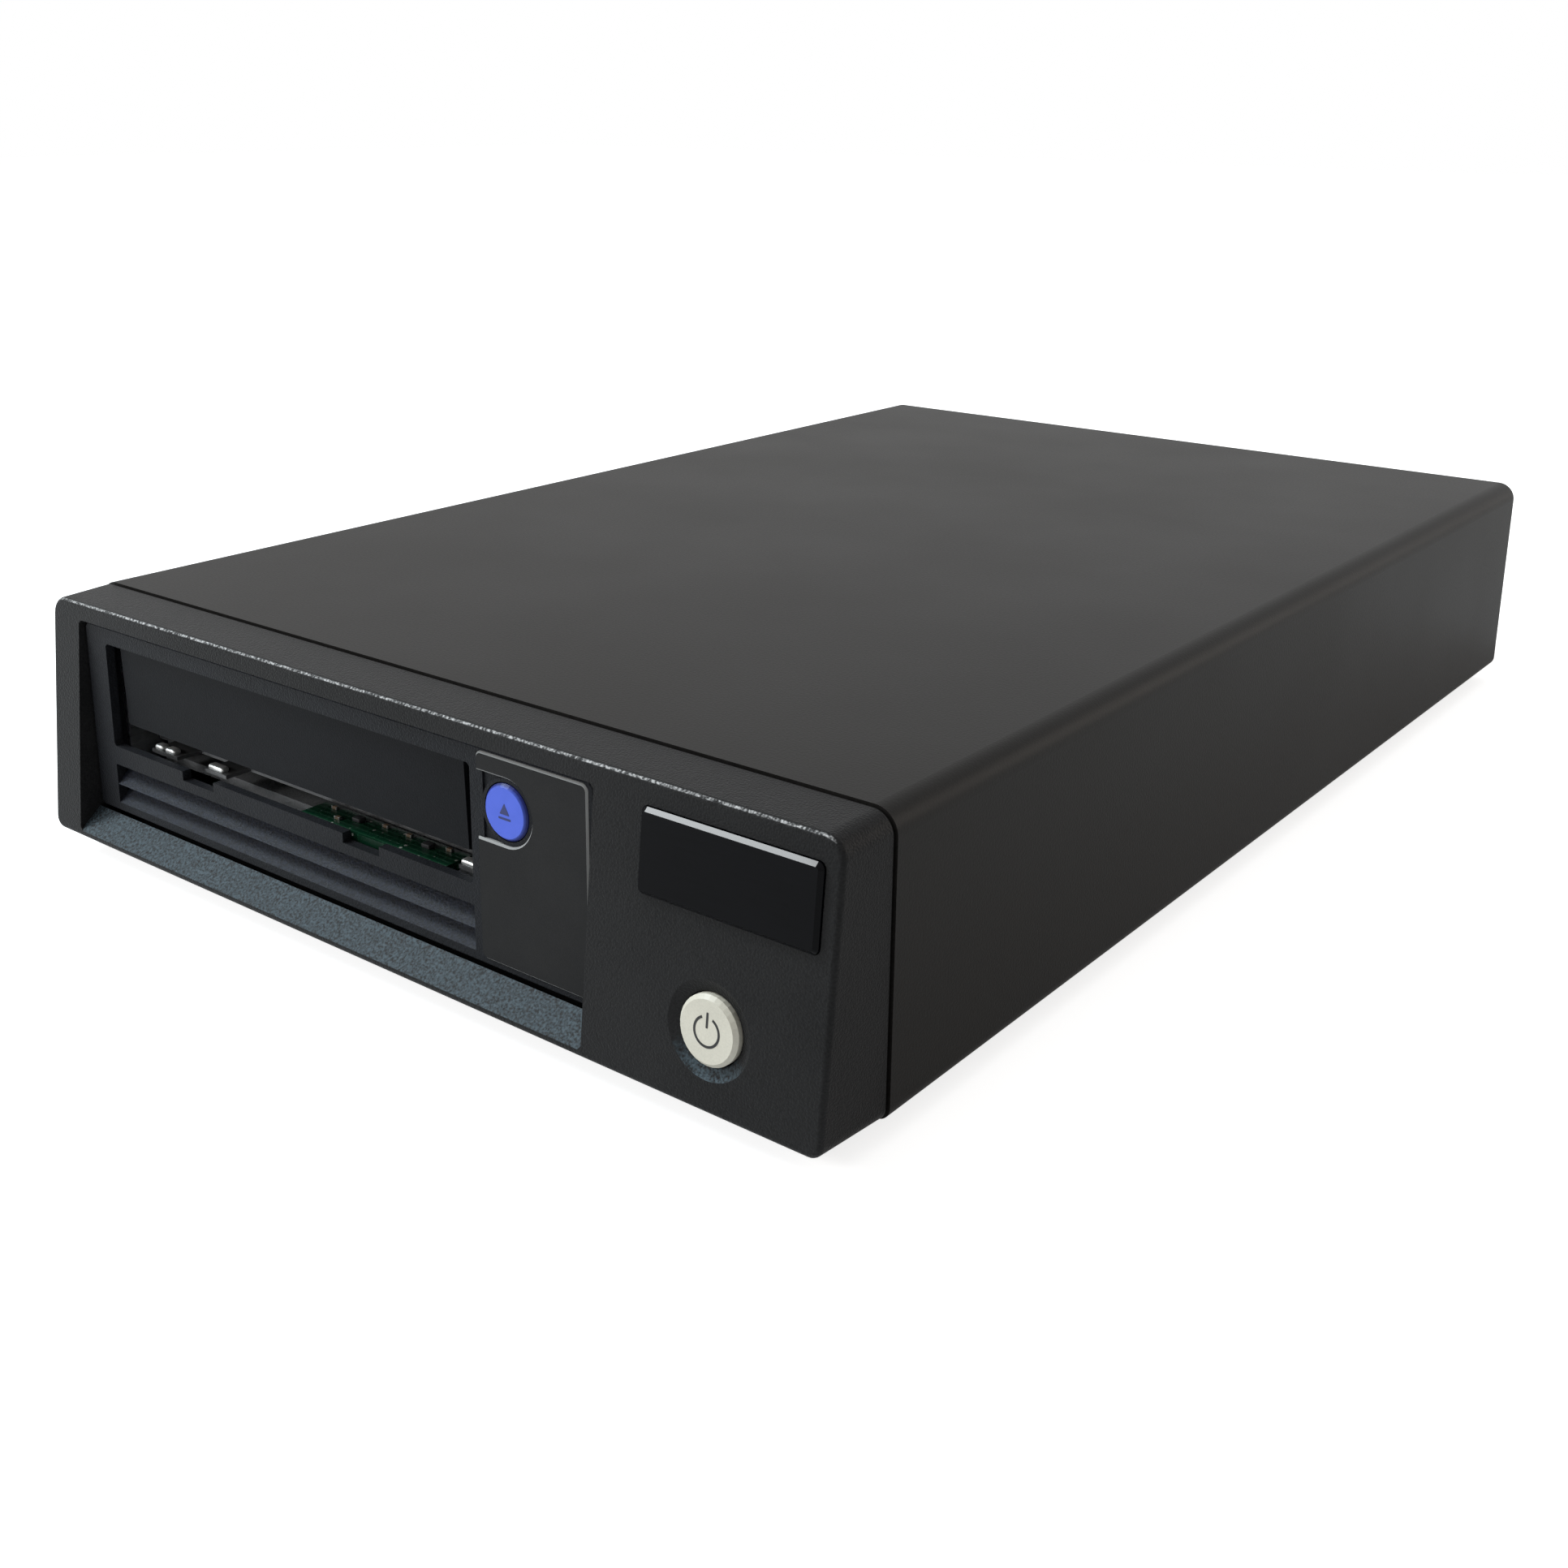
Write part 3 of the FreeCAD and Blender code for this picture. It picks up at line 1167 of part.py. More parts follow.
memory_chip = size("memory_chip", 12.0)
memory_chip_step = size("memory_chip_step", 19.0)
memory_chips = 3
main_board.pad("z", main_board_top, main_board_top + chip_height, rectangle(
    -main_chip_x - main_chip / 2, -main_chip_x + main_chip / 2,
    chip_row - main_chip / 2, chip_row + main_chip / 2))
main_board.pad("z", main_board_top, main_board_top + chip_height, rectangle(
    -memory_chip / 2, memory_chip / 2, chip_row - memory_chip, chip_row + memory_chip / 2))
main_board.along("H", memory_chip_step, memory_chips)

drive_plug = Piece("drive_connector", *drive_place)
plug_front = drive_depth - drive_plug_depth
plug_back = drive_depth + drive_plug_proud
drive_plug.pad("y", plug_front, plug_back, bevelled(
    drive_plug_x - drive_plug_width / 2, drive_plug_x + drive_plug_width / 2,
    main_board_top, main_board_top + drive_plug_height, drive_plug_corner))
drive_plug.cut("y", plug_front + drive_plug_end, plug_back, rectangle(
    drive_plug_x - drive_plug_width / 2 + drive_plug_end,
    drive_plug_x + drive_plug_width / 2 - drive_plug_end,
    main_board_top + drive_plug_wall, main_board_top + drive_plug_height - drive_plug_wall))

# ---------------------------------------------------- the drive's front

# Moulded front: cartridge slot with two finger notches, a louvred vent of
# two sloping fins, the eject button's hole and a raised surround.
slot_left = size("slot_left", 67.4)
slot_width = size("slot_width", 112.0)
slot_low = size("slot_low", 15.3)
slot_height = size("slot_height", 23.0)
slot_corner = size("slot_corner", 0.6)
notch_width = size("notch_width", 10.5)
notch_depth = size("notch_depth", 2.0)
notch_left = size("notch_left", 37.7)
notch_right = size("notch_right", 13.6)
vent_low = size("vent_low", 2.2)
vent_height = size("vent_height", 8.9)
fin_depth = size("fin_depth", 4.4)
fin_rise = size("fin_rise", 4.3)
fin_thickness = size("fin_thickness", 1.0)
fin_step = size("fin_step", 4.3)
fins = 2
eject_x = size("eject_x", 53.8)
eject_z = size("eject_z", 31.4)
eject_radius = size("eject_radius", 5.3)
eject_gap = size("eject_gap", 0.2)
eject_travel = size("eject_travel", 0.8)
eject_proud = size("eject_proud", 0.6)
eject_flange = size("eject_flange", 1.0)
cover_left = size("cover_left", 46.5)
cover_width = size("cover_width", 26.9)
cover_low = size("cover_low", 1.6)
cover_height = size("cover_height", 39.8)
cover_corner = size("cover_corner", 1.4)
cover_thickness = size("cover_thickness", 0.8)
cover_sunk = size("cover_sunk", 0.4)
cover_bevel = size("cover_bevel", 0.35)
cover_notch_radius = size("cover_notch_radius", 6.3)
cover_gap = size("cover_gap", 0.1)
surround_wall = size("surround_wall", 0.4)

slot_right = slot_width - slot_left
slot_top = slot_low + slot_height
cover_right = cover_left + cover_width
cover_top = cover_low + cover_height

face = Piece("drive_bezel", *drive_place)
face.pad("y", 0, drive_bezel_depth, bevelled(
    -half_drive_bezel, half_drive_bezel, drive_bezel_low, drive_bezel_top, drive_bezel_corner))
face.soften(drive_bezel_edge, lambda edge: near(edge.CenterOfMass.y, 0), kind="Chamfer")
face.cut("y", drive_bezel_wall, drive_bezel_depth, rectangle(
    -half_drive_bezel + drive_bezel_wall, half_drive_bezel - drive_bezel_wall,
    drive_bezel_low + drive_bezel_rim, drive_bezel_top - drive_bezel_rim))
face.cut("y", 0, drive_bezel_wall, bevelled(-slot_left, slot_right, slot_low, slot_top, slot_corner))
face.cut("y", 0, drive_bezel_wall, *[rectangle(
    middle - notch_width / 2, middle + notch_width / 2, slot_low - notch_depth, slot_low + slot_corner)
    for middle in (-notch_left, notch_right)])
face.cut("y", 0, drive_bezel_wall, rectangle(-slot_left, slot_right, vent_low, vent_low + vent_height))
face.pad("x", -slot_left, slot_right, outline(
    (0, vent_low), (fin_thickness, vent_low), (fin_depth, vent_low + fin_rise - fin_thickness),
    (fin_depth, vent_low + fin_rise)))
face.along("V", fin_step, fins)
face.cut("y", 0, cover_sunk, rounded(
    cover_left - cover_gap, cover_right + cover_gap, cover_low - cover_gap, cover_top + cover_gap,
    cover_corner + cover_gap))
face.cut("y", 0, drive_bezel_wall, circle(eject_x, eject_z, eject_radius + eject_gap))

# The thin cover beside the slot is notched round the eject button, whose
# surround stands level with the face.
surround_radius = cover_notch_radius - cover_gap
surround_left = eject_radius + eject_gap + surround_wall
face.pad("y", 0, cover_sunk, circle(eject_x, eject_z, surround_radius),
         circle(eject_x, eject_z, eject_radius + eject_gap))
face.pad("y", 0, cover_sunk, rectangle(
    cover_left - cover_gap, eject_x - surround_left,
    eject_z - surround_radius, eject_z + surround_radius))
cover_front = cover_sunk - cover_thickness
side_cover = Piece("indicator_cover", *drive_place)
side_cover.pad("y", cover_front, cover_sunk, rounded(
    cover_left, cover_right, cover_low, cover_top, cover_corner))
side_cover.cut("y", cover_front, cover_sunk, circle(eject_x, eject_z, cover_notch_radius))
side_cover.cut("y", cover_front, cover_sunk, rectangle(
    cover_left - cut_reach, eject_x, eject_z - cover_notch_radius, eject_z + cover_notch_radius))
side_cover.soften(cover_bevel, lambda edge: near(edge.CenterOfMass.y, cover_front), kind="Chamfer")

# Eject button: crowned cap, retaining flange and stem.
eject_cap_length = size("eject_cap_length", 2.9)
eject_flange_depth = size("eject_flange_depth", 0.8)
eject_stem_radius = size("eject_stem_radius", 1.5)
eject_stem_end = size("eject_stem_end", 7.2)
eject_crown = size("eject_crown", 0.6)
eject = Piece("eject_button", eject_x - drive_offset, drive_face_y, drive_floor_z + eject_z, turn=90)
eject_flange_top = eject_proud - eject_cap_length
eject_flange_floor = eject_flange_top - eject_flange_depth
eject.pad("z", eject_flange_top, eject_proud, flatted(0, 0, eject_radius, cap_sides))
eject.soften(eject_crown, lambda edge: near(edge.CenterOfMass.z, eject_proud), kind="Chamfer")
eject.pad("z", eject_flange_floor, eject_flange_top,
          flatted(0, 0, eject_radius + eject_flange, guide_sides))
eject.pad("z", -eject_stem_end, eject_flange_floor, flatted(0, 0, eject_stem_radius))

# A small board on posts behind it carries the eject switch and the lamps.
lamp_board_left = size("lamp_board_left", 46.5)
lamp_board_right = size("lamp_board_right", 70.0)
lamp_board_low = size("lamp_board_low", 8.0)
lamp_board_high = size("lamp_board_high", 38.0)
lamp_board_y = size("lamp_board_y", 9.6)
lamp_post = size("lamp_post", 1.8)
lamp_post_inset = size("lamp_post_inset", 3.0)
lamp_radius = size("lamp_radius", 1.5)
lamp_lift = size("lamp_lift", 3.0)
lamp_step = size("lamp_step", 4.0)
lamp_x = size("lamp_x", 58.5)
lamp_z = size("lamp_z", 12.0)
lamps = 3
eject_switch = size("eject_switch", 6.0)
eject_switch_gap = size("eject_switch_gap", 0.15)
right_post_x = lamp_board_right - lamp_post_inset
low_post_z = lamp_board_low + lamp_post_inset
lamp_posts = [(lamp_board_left + lamp_post_inset, low_post_z), (right_post_x, low_post_z),
              (right_post_x, lamp_board_high - lamp_post_inset)]
face.pad("y", drive_bezel_wall, lamp_board_y, *[flatted(x, z, lamp_post) for x, z in lamp_posts])
lamp_board = Piece("indicator_board", *drive_place)
lamp_board.pad("y", lamp_board_y, lamp_board_y + board_thickness, rectangle(
    lamp_board_left, lamp_board_right, lamp_board_low, lamp_board_high))
lamp_board.pad("y", eject_stem_end + eject_travel + eject_switch_gap, lamp_board_y, rectangle(
    eject_x - eject_switch / 2, eject_x + eject_switch / 2,
    eject_z - eject_switch / 2, eject_z + eject_switch / 2))
lamp_board.pad("y", lamp_board_y - lamp_lift, lamp_board_y, flatted(lamp_x, lamp_z, lamp_radius))
lamp_board.along("V", lamp_step, lamps)

# Ledges behind the slot's lower edge carry the cartridge sensor board.
sensor_left = size("sensor_left", 8.0)
sensor_right = size("sensor_right", 34.0)
sensor_front = size("sensor_front", 2.6)
sensor_back = size("sensor_back", 9.4)
sensor_low = size("sensor_low", 13.0)
ledge_thickness = size("ledge_thickness", 1.4)
ledge_width = size("ledge_width", 4.0)
ledge_inset = size("ledge_inset", 2.0)
for ledge_x in (-sensor_left + ledge_inset, sensor_right - ledge_inset - ledge_width):
    face.pad("y", drive_bezel_wall, sensor_back, rectangle(
        ledge_x, ledge_x + ledge_width, sensor_low - ledge_thickness, sensor_low))
sensor_board = Piece("sensor_board", *drive_place)
sensor_board.pad("z", sensor_low, sensor_low + board_thickness, rectangle(
    -sensor_left, sensor_right, sensor_front, sensor_back))

# ---------------------------------------------------- the slot's door

# The door hangs in the slot on a steel pin and swings in over a cartridge.
door_side_gap = size("door_side_gap", 3.1)
door_recess_top = size("door_recess_top", 1.5)
door_recess_low = size("door_recess_low", 2.1)
door_thickness = size("door_thickness", 1.4)
door_low = size("door_low", 20.3)
door_top_gap = size("door_top_gap", 0.4)
door_pin_radius = size("door_pin_radius", 0.75)
door_axis_y = size("door_axis_y", 3.4)
door_axis_rise = size("door_axis_rise", 1.0)
door_ear_radius = size("door_ear_radius", 1.1)
door_ear_length = size("door_ear_length", 5.0)
door_ear_root = size("door_ear_root", 0.6)
door_web_back = size("door_web_back", 0.2)
lug_gap = size("lug_gap", 0.3)
lug_length = size("lug_length", 2.2)

slot_middle = (slot_right - slot_left) / 2
door_half = slot_width / 2 - door_side_gap
door_axis_z = slot_top + door_axis_rise
door_top = slot_top - door_top_gap
door = Piece("cartridge_door", *drive_place)
door.pad("x", slot_middle - door_half, slot_middle + door_half, outline(
    (door_recess_top, door_top), (door_recess_low, door_low),
    (door_recess_low + door_thickness, door_low), (door_recess_top + door_thickness, door_top)))
door_ends = [(slot_middle - door_half, slot_middle - door_half + door_ear_length),
             (slot_middle + door_half - door_ear_length, slot_middle + door_half)]
web_root = door_top - door_ear_root
for low_end, high_end in door_ends:
    door.pad("x", low_end, high_end, outline(
        (drive_bezel_wall + lug_gap, web_root), (door_axis_y + door_web_back, web_root),
        (door_axis_y + door_ear_radius, door_axis_z), (door_axis_y - door_ear_radius, door_axis_z)))
    door.pad("x", low_end, high_end, flatted(door_axis_y, door_axis_z, door_ear_radius, hub_sides))
    door.cut("x", low_end, high_end,
             flatted_bore(door_axis_y, door_axis_z, door_pin_radius + running_gap, hub_sides))

lug_half = door_half + lug_gap
pin_half = lug_half + lug_length
lug_top = drive_bezel_top - drive_bezel_rim
for low_end, high_end in ((slot_middle - pin_half, slot_middle - lug_half),
                          (slot_middle + lug_half, slot_middle + pin_half)):
    face.pad("x", low_end, high_end, rectangle(
        drive_bezel_wall, door_axis_y + door_ear_radius, slot_top + cover_gap, lug_top))
    face.cut("x", low_end, high_end, flatted_bore(door_axis_y, door_axis_z, door_pin_radius, hub_sides))

# A coil on the pin's right end brings the door back down. Its turns lie
# close, so it is drawn as a sleeve with one leg.
spring_radius = size("spring_radius", 1.25)
spring_wire = size("spring_wire", 0.45)
spring_gap = size("spring_gap", 0.1)
spring_leg = size("spring_leg", 7.0)
spring_turns = 5
spring_start = slot_middle + pin_half + spring_gap
spring_end = spring_start + spring_wire * spring_turns
door_pin = Piece("door_pin", *drive_place)
door_pin.pad("x", slot_middle - pin_half, spring_end + spring_gap,
             circle(door_axis_y, door_axis_z, door_pin_radius))
spring = Piece("door_spring", drive_place[0] + spring_start, drive_place[1] + door_axis_y,
               drive_place[2] + door_axis_z, axis=(0, 1, 0), turn=90)
spring.pad("z", 0, spring_wire * spring_turns, flatted(0, 0, spring_radius, hub_sides),
           flatted_bore(0, 0, door_pin_radius + running_gap, hub_sides))
spring.pad("z", 0, spring_wire, rectangle(
    0, door_pin_radius + spring_leg, -spring_radius, -spring_radius + spring_wire))

# ------------------------------------------------- deck and loading parts

cartridge_width = size("cartridge_width", 105.4)
cartridge_depth = size("cartridge_depth", 102.0)
cartridge_play = size("cartridge_play", 0.6)
tray_floor_gap = size("tray_floor_gap", 0.1)
carrier_sheet = size("carrier_sheet", 0.8)
carrier_wall = size("carrier_wall", 1.0)
carrier_front = size("carrier_front", 10.0)
carrier_back = size("carrier_back", 93.0)
carrier_top = size("carrier_top", 37.6)
carrier_lip = size("carrier_lip", 5.0)
carrier_step = size("carrier_step", 30.0)
carrier_lip_front = size("carrier_lip_front", 26.0)
carrier_stop = size("carrier_stop", 12.0)
tongue_front = size("tongue_front", 4.0)
load_travel = size("load_travel", 14.0)
load_drop = size("load_drop", 3.0)
guide_pin_radius = size("guide_pin_radius", 1.4)
guide_pin_front = size("guide_pin_front", 22.0)
guide_pin_back = size("guide_pin_back", 84.0)
guide_pin_z = size("guide_pin_z", 24.0)
guide_play = size("guide_play", 0.2)
sled_wall = size("sled_wall", 1.0)
sled_gap = size("sled_gap", 0.7)
guide_wall_thickness = size("guide_wall_thickness", 1.2)
guide_wall_gap = size("guide_wall_gap", 1.0)

carrier_inside = cartridge_width / 2 + cartridge_play
carrier_outside = carrier_inside + carrier_wall
sled_inside = carrier_outside + sled_gap
sled_outside = sled_inside + sled_wall
guide_inside = sled_outside + guide_wall_gap
guide_outside = guide_inside + guide_wall_thickness
carrier_floor = slot_low + tray_floor_gap
carrier_low = carrier_floor - carrier_sheet
hub_y = carrier_back + load_travel - cartridge_depth / 2
guide_pins = [guide_pin_front, guide_pin_back]

def both_sides(inner, outer):
    """The low and high X of a wall on the left and of one on the right."""
    return [(slot_middle - outer, slot_middle - inner), (slot_middle + inner, slot_middle + outer)]


# Carrier: the sheet tray that a cartridge slides into.
carrier = Piece("cartridge_carrier", *drive_place)
carrier.pad("y", carrier_front, carrier_back + carrier_wall, outline(
    (slot_middle - carrier_outside, carrier_low), (slot_middle + carrier_outside, carrier_low),
    (slot_middle + carrier_outside, carrier_top), (slot_middle + carrier_inside, carrier_top),
    (slot_middle + carrier_inside, carrier_floor), (slot_middle - carrier_inside, carrier_floor),
    (slot_middle - carrier_inside, carrier_top), (slot_middle - carrier_outside, carrier_top)))
carrier.pad("y", carrier_back, carrier_back + carrier_wall, rectangle(
    slot_middle - carrier_inside, slot_middle + carrier_inside, carrier_low, carrier_low + carrier_stop))
carrier.pad("z", carrier_top, carrier_top + carrier_sheet, rectangle(
    slot_middle - carrier_outside, slot_middle - carrier_inside + carrier_lip,
    carrier_lip_front, carrier_back + carrier_wall), rectangle(
    slot_middle + carrier_inside - carrier_lip, slot_middle + carrier_outside,
    carrier_lip_front, carrier_back + carrier_wall))
# Lead-in tongues reach forward to the slot.
wide_tongue_x = size("wide_tongue_x", 55.1)
wide_tongue = size("wide_tongue", 9.0)
narrow_tongue_x = size("narrow_tongue_x", 37.1)
narrow_tongue = size("narrow_tongue", 7.0)
right_tongue_x = size("right_tongue_x", 38.9)
right_tongue = size("right_tongue", 5.0)
carrier.pad("z", carrier_low, carrier_floor, *[rectangle(
    middle - width / 2, middle + width / 2, tongue_front, carrier_front) for middle, width in
    ((-wide_tongue_x, wide_tongue), (-narrow_tongue_x, narrow_tongue), (right_tongue_x, right_tongue))])
hub_hole = size("hub_hole", 15.5)
hub_hole_bevel = size("hub_hole_bevel", 8.0)
carrier.cut("z", carrier_low, carrier_floor, bevelled(
    slot_middle - hub_hole, slot_middle + hub_hole,
    hub_y - load_travel - hub_hole, hub_y + hub_hole, hub_hole_bevel))
# The walls step down in front, below the open door.
carrier.cut("x", slot_middle - carrier_outside, slot_middle + carrier_outside, rectangle(
    carrier_front, carrier_lip_front, carrier_step, carrier_top))
pin_reach = guide_outside - tray_floor_gap
for low_end, high_end in both_sides(carrier_inside, pin_reach):
    carrier.pad("x", low_end, high_end, *[
        flatted(row, guide_pin_z, guide_pin_radius, hub_sides) for row in guide_pins])

# Sled: two side plates joined behind the carrier. Upright slots let the
# carrier's pins drop, and a rack on the right plate drives it.
sled_low = size("sled_low", 10.9)
sled_top = size("sled_top", 38.6)
sled_front = size("sled_front", 13.0)
sled_bridge = size("sled_bridge", 96.0)
sled_bridge_low = size("sled_bridge_low", 29.0)
tooth_module = size("tooth_module", 0.8)
rack_low = size("rack_low", 16.6)
rack_height = size("rack_height", 3.6)
rack_arm = size("rack_arm", 4.5)
rack_end = size("rack_end", 2.0)
gear_y = size("gear_y", 60.0)
rack_teeth = 8
pinion_teeth = 12

sled = Piece("loading_sled", *drive_place)
sled_back = sled_bridge + sled_wall
slot_half = guide_pin_radius + guide_play

sled_plates = both_sides(sled_inside, sled_outside)
for low_end, high_end in sled_plates:
    sled.pad("x", low_end, high_end, rectangle(sled_front, sled_back, sled_low, sled_top))
    sled.pad("y", sled_bridge, sled_back, rectangle(
        slot_middle - sled_outside, slot_middle + sled_outside, sled_bridge_low, sled_top))
for low_end, high_end in sled_plates:
    sled.cut("x", low_end, high_end, *[bevelled(
        row - slot_half, row + slot_half, guide_pin_z - load_drop - slot_half,
        guide_pin_z + slot_half, slot_end_bevel) for row in guide_pins])

# Teeth are straight-sided: half their width at the root and at the tip,
# their height either side of the pitch line, and how deep a wheel's tooth
# is rooted, all in modules.
ROOT_HALF = 0.95
TIP_HALF = 0.3
ABOVE_PITCH = 0.75
BELOW_PITCH = 1.2
ROOTED = 1.5

rack_pitch = tooth_module * round(math.pi, 5)
rack_root = slot_middle + sled_outside + rack_arm
rack_tip = rack_root + tooth_module * (ABOVE_PITCH + BELOW_PITCH)
pitch_line = rack_root + tooth_module * BELOW_PITCH
rack_top = rack_low + rack_height
# At rest the gear meets the gap in front of the last tooth.
last_tooth = gear_y + rack_pitch / 2
first_tooth = last_tooth - rack_pitch * (rack_teeth - 1)
rack_back = last_tooth + rack_end
rack_front = first_tooth - rack_end
sled.pad("z", rack_low, rack_top, rectangle(
    slot_middle + sled_outside, rack_root, rack_front, rack_back))
sled.pad("z", rack_low, rack_top, outline(
    (rack_root, first_tooth - tooth_module * ROOT_HALF), (rack_tip, first_tooth - tooth_module * TIP_HALF),
    (rack_tip, first_tooth + tooth_module * TIP_HALF), (rack_root, first_tooth + tooth_module * ROOT_HALF)))
sled.along("V", rack_pitch, rack_teeth)


def gear_teeth(piece, module, count, low, high, start=0.0):
    """Raise teeth round a wheel whose root is already there."""
    pitch_radius = module * count / 2
    steps = ((-ROOTED, ROOT_HALF), (ABOVE_PITCH, TIP_HALF))
    corners = [(pitch_radius + module * rise, -module * half) for rise, half in steps]
    corners.extend((pitch_radius + module * rise, module * half) for rise, half in reversed(steps))
    cosine = round(math.cos(math.radians(start)), 6)
    sine = round(math.sin(math.radians(start)), 6)
    piece.pad("z", low, high, outline(*[
        (across * cosine - up * sine, across * sine + up * cosine) for across, up in corners]))
    piece.around(count)


# Loader gear: a pinion on the rack and a wheel above it, turning on a post.
# The wheel is turned by half a tooth to meet the motor's pinion.
wheel_module = size("wheel_module", 0.8)
wheel_teeth = 20
wheel_turn = 9.0
motor_teeth = 10
motor_turn = 9.0
gear_post = size("gear_post", 1.2)
gear_hub = size("gear_hub", 2.6)
wheel_low = size("wheel_low", 24.0)
wheel_height = size("wheel_height", 3.0)
end_gap = size("end_gap", 0.2)
gear_x = pitch_line + tooth_module * pinion_teeth / 2
gear_bore = gear_post + running_gap
pinion_root = tooth_module * (pinion_teeth / 2 - BELOW_PITCH)
wheel_root = wheel_module * (wheel_teeth / 2 - BELOW_PITCH)
wheel_top = wheel_low + wheel_height
loader_gear = Piece("loader_gear", drive_place[0] + gear_x, drive_place[1] + gear_y, drive_place[2])
loader_gear.pad("z", deck_top + end_gap, wheel_low, flatted(0, 0, gear_hub, hub_sides))
loader_gear.pad("z", rack_low, rack_top, polygon(0, 0, pinion_root, pinion_teeth, 180 / pinion_teeth))
loader_gear.pad("z", wheel_low, wheel_top,
                polygon(0, 0, wheel_root, wheel_teeth, wheel_turn + 180 / wheel_teeth))
gear_teeth(loader_gear, tooth_module, pinion_teeth, rack_low, rack_top)
gear_teeth(loader_gear, wheel_module, wheel_teeth, wheel_low, wheel_top, start=wheel_turn)
loader_gear.cut("z", deck_top + end_gap, wheel_top, flatted_bore(0, 0, gear_bore, hub_sides))

# The motor stands beside it with its own pinion, set 45 degrees round.
motor_can = size("motor_can", 6.0)
motor_height = size("motor_height", 12.0)
motor_shaft = size("motor_shaft", 0.8)
pinion_skirt = size("pinion_skirt", 0.6)
half_right_angle = round(math.sqrt(0.5), 6)
centre_distance = wheel_module * (wheel_teeth + motor_teeth) / 2
motor_x = gear_x + centre_distance * half_right_angle
motor_y = gear_y - centre_distance * half_right_angle
motor_top = deck_top + motor_height
joined("loader_motor", [
    solid_rod("motor_can_body", "z", motor_can, motor_x, motor_y, deck_top, motor_height, guide_sides),
    upright_spindle("motor_shaft_rod", motor_shaft, motor_x, motor_y, motor_top,
                    wheel_top - motor_top)], drive_place)
motor_root = wheel_module * (motor_teeth / 2 - BELOW_PITCH)
pinion_low = wheel_low - pinion_skirt
motor_pinion = Piece("motor_pinion", drive_place[0] + motor_x, drive_place[1] + motor_y, drive_place[2])
motor_pinion.pad("z", pinion_low, wheel_top,
                 polygon(0, 0, motor_root, motor_teeth, motor_turn + 180 / motor_teeth))
gear_teeth(motor_pinion, wheel_module, motor_teeth, wheel_low, wheel_top, start=motor_turn)
motor_pinion.cut("z", pinion_low, wheel_top, flatted_bore(0, 0, motor_shaft + running_gap, hub_sides))

# --------------------------------------------------------- reels and path

supply_rotor = size("supply_rotor", 17.5)
supply_rotor_low = size("supply_rotor_low", 8.9)
supply_rotor_top = size("supply_rotor_top", 11.0)
coupling_radius = size("coupling_radius", 13.5)
coupling_inside = size("coupling_inside", 10.0)
coupling_top = size("coupling_top", 13.5)
coupling_tooth = size("coupling_tooth", 0.7)
coupling_teeth = 12
motor_plate_radius = size("motor_plate_radius", 21.0)
motor_plate_low = size("motor_plate_low", 6.8)
spindle_radius = size("spindle_radius", 1.5)
deck_hole = size("deck_hole", 18.5)
rotor_web = size("rotor_web", 0.6)
hub_boss = size("hub_boss", 3.3)
tooth_root_half = size("tooth_root_half", 0.7)
tooth_end_half = size("tooth_end_half", 1.0)
tooth_inset = size("tooth_inset", 0.2)
cup_floor = supply_rotor_top + rotor_web
boss_top = coupling_top - rotor_web
spindle_bore = spindle_radius + running_gap

joined("supply_motor", [
    solid_rod("supply_plate", "z", motor_plate_radius, slot_middle, hub_y, motor_plate_low,
              deck_low - motor_plate_low, wheel_sides),
    upright_spindle("supply_spindle", spindle_radius, slot_middle, hub_y, motor_plate_low,
                    coupling_top - motor_plate_low)], drive_place)
hub = Piece("supply_hub", drive_place[0] + slot_middle, drive_place[1] + hub_y, drive_place[2])
hub.pad("z", supply_rotor_low, supply_rotor_top, flatted(0, 0, supply_rotor, wheel_sides))
hub.pad("z", supply_rotor_top, coupling_top, flatted(0, 0, coupling_radius, wheel_sides))
hub.cut("z", boss_top, coupling_top, flatted(0, 0, coupling_inside, wheel_sides))
hub.cut("z", cup_floor, boss_top, flatted(0, 0, coupling_inside, wheel_sides),
        flatted(0, 0, hub_boss, hub_sides))
hub.cut("z", supply_rotor_low, boss_top, flatted_bore(0, 0, spindle_bore, hub_sides))
hub.pad("z", coupling_top, coupling_top + coupling_tooth, outline(
    (coupling_inside + tooth_inset, -tooth_root_half), (coupling_radius - tooth_inset, -tooth_end_half),
    (coupling_radius - tooth_inset, tooth_end_half), (coupling_inside + tooth_inset, tooth_root_half)))
hub.around(coupling_teeth)

reel_x = size("reel_x", -20.0)
reel_rear = size("reel_rear", 47.0)
reel_radius = size("reel_radius", 44.0)
reel_hub = size("reel_hub", 22.0)
reel_flange = size("reel_flange", 1.2)
reel_low = size("reel_low", 17.0)
tape_room = size("tape_room", 13.2)
reel_post = size("reel_post", 2.0)
stator_radius = size("stator_radius", 18.0)
stator_height = size("stator_height", 4.8)
skirt_wall = size("skirt_wall", 1.5)
skirt_gap = size("skirt_gap", 0.6)
reel_hub_wall = size("reel_hub_wall", 5.0)
reel_web = size("reel_web", 3.0)
reel_boss = size("reel_boss", 6.0)
boss_drop = size("boss_drop", 2.0)
window_inner = size("window_inner", 27.0)
window_outer = size("window_outer", 39.0)
window_narrow = size("window_narrow", 4.5)
window_wide = size("window_wide", 8.0)
reel_windows = 6
reel_sides = 30
reel_y = drive_depth - reel_rear
stator_top = deck_top + stator_height
reel_top = reel_low + reel_flange * 2 + tape_room
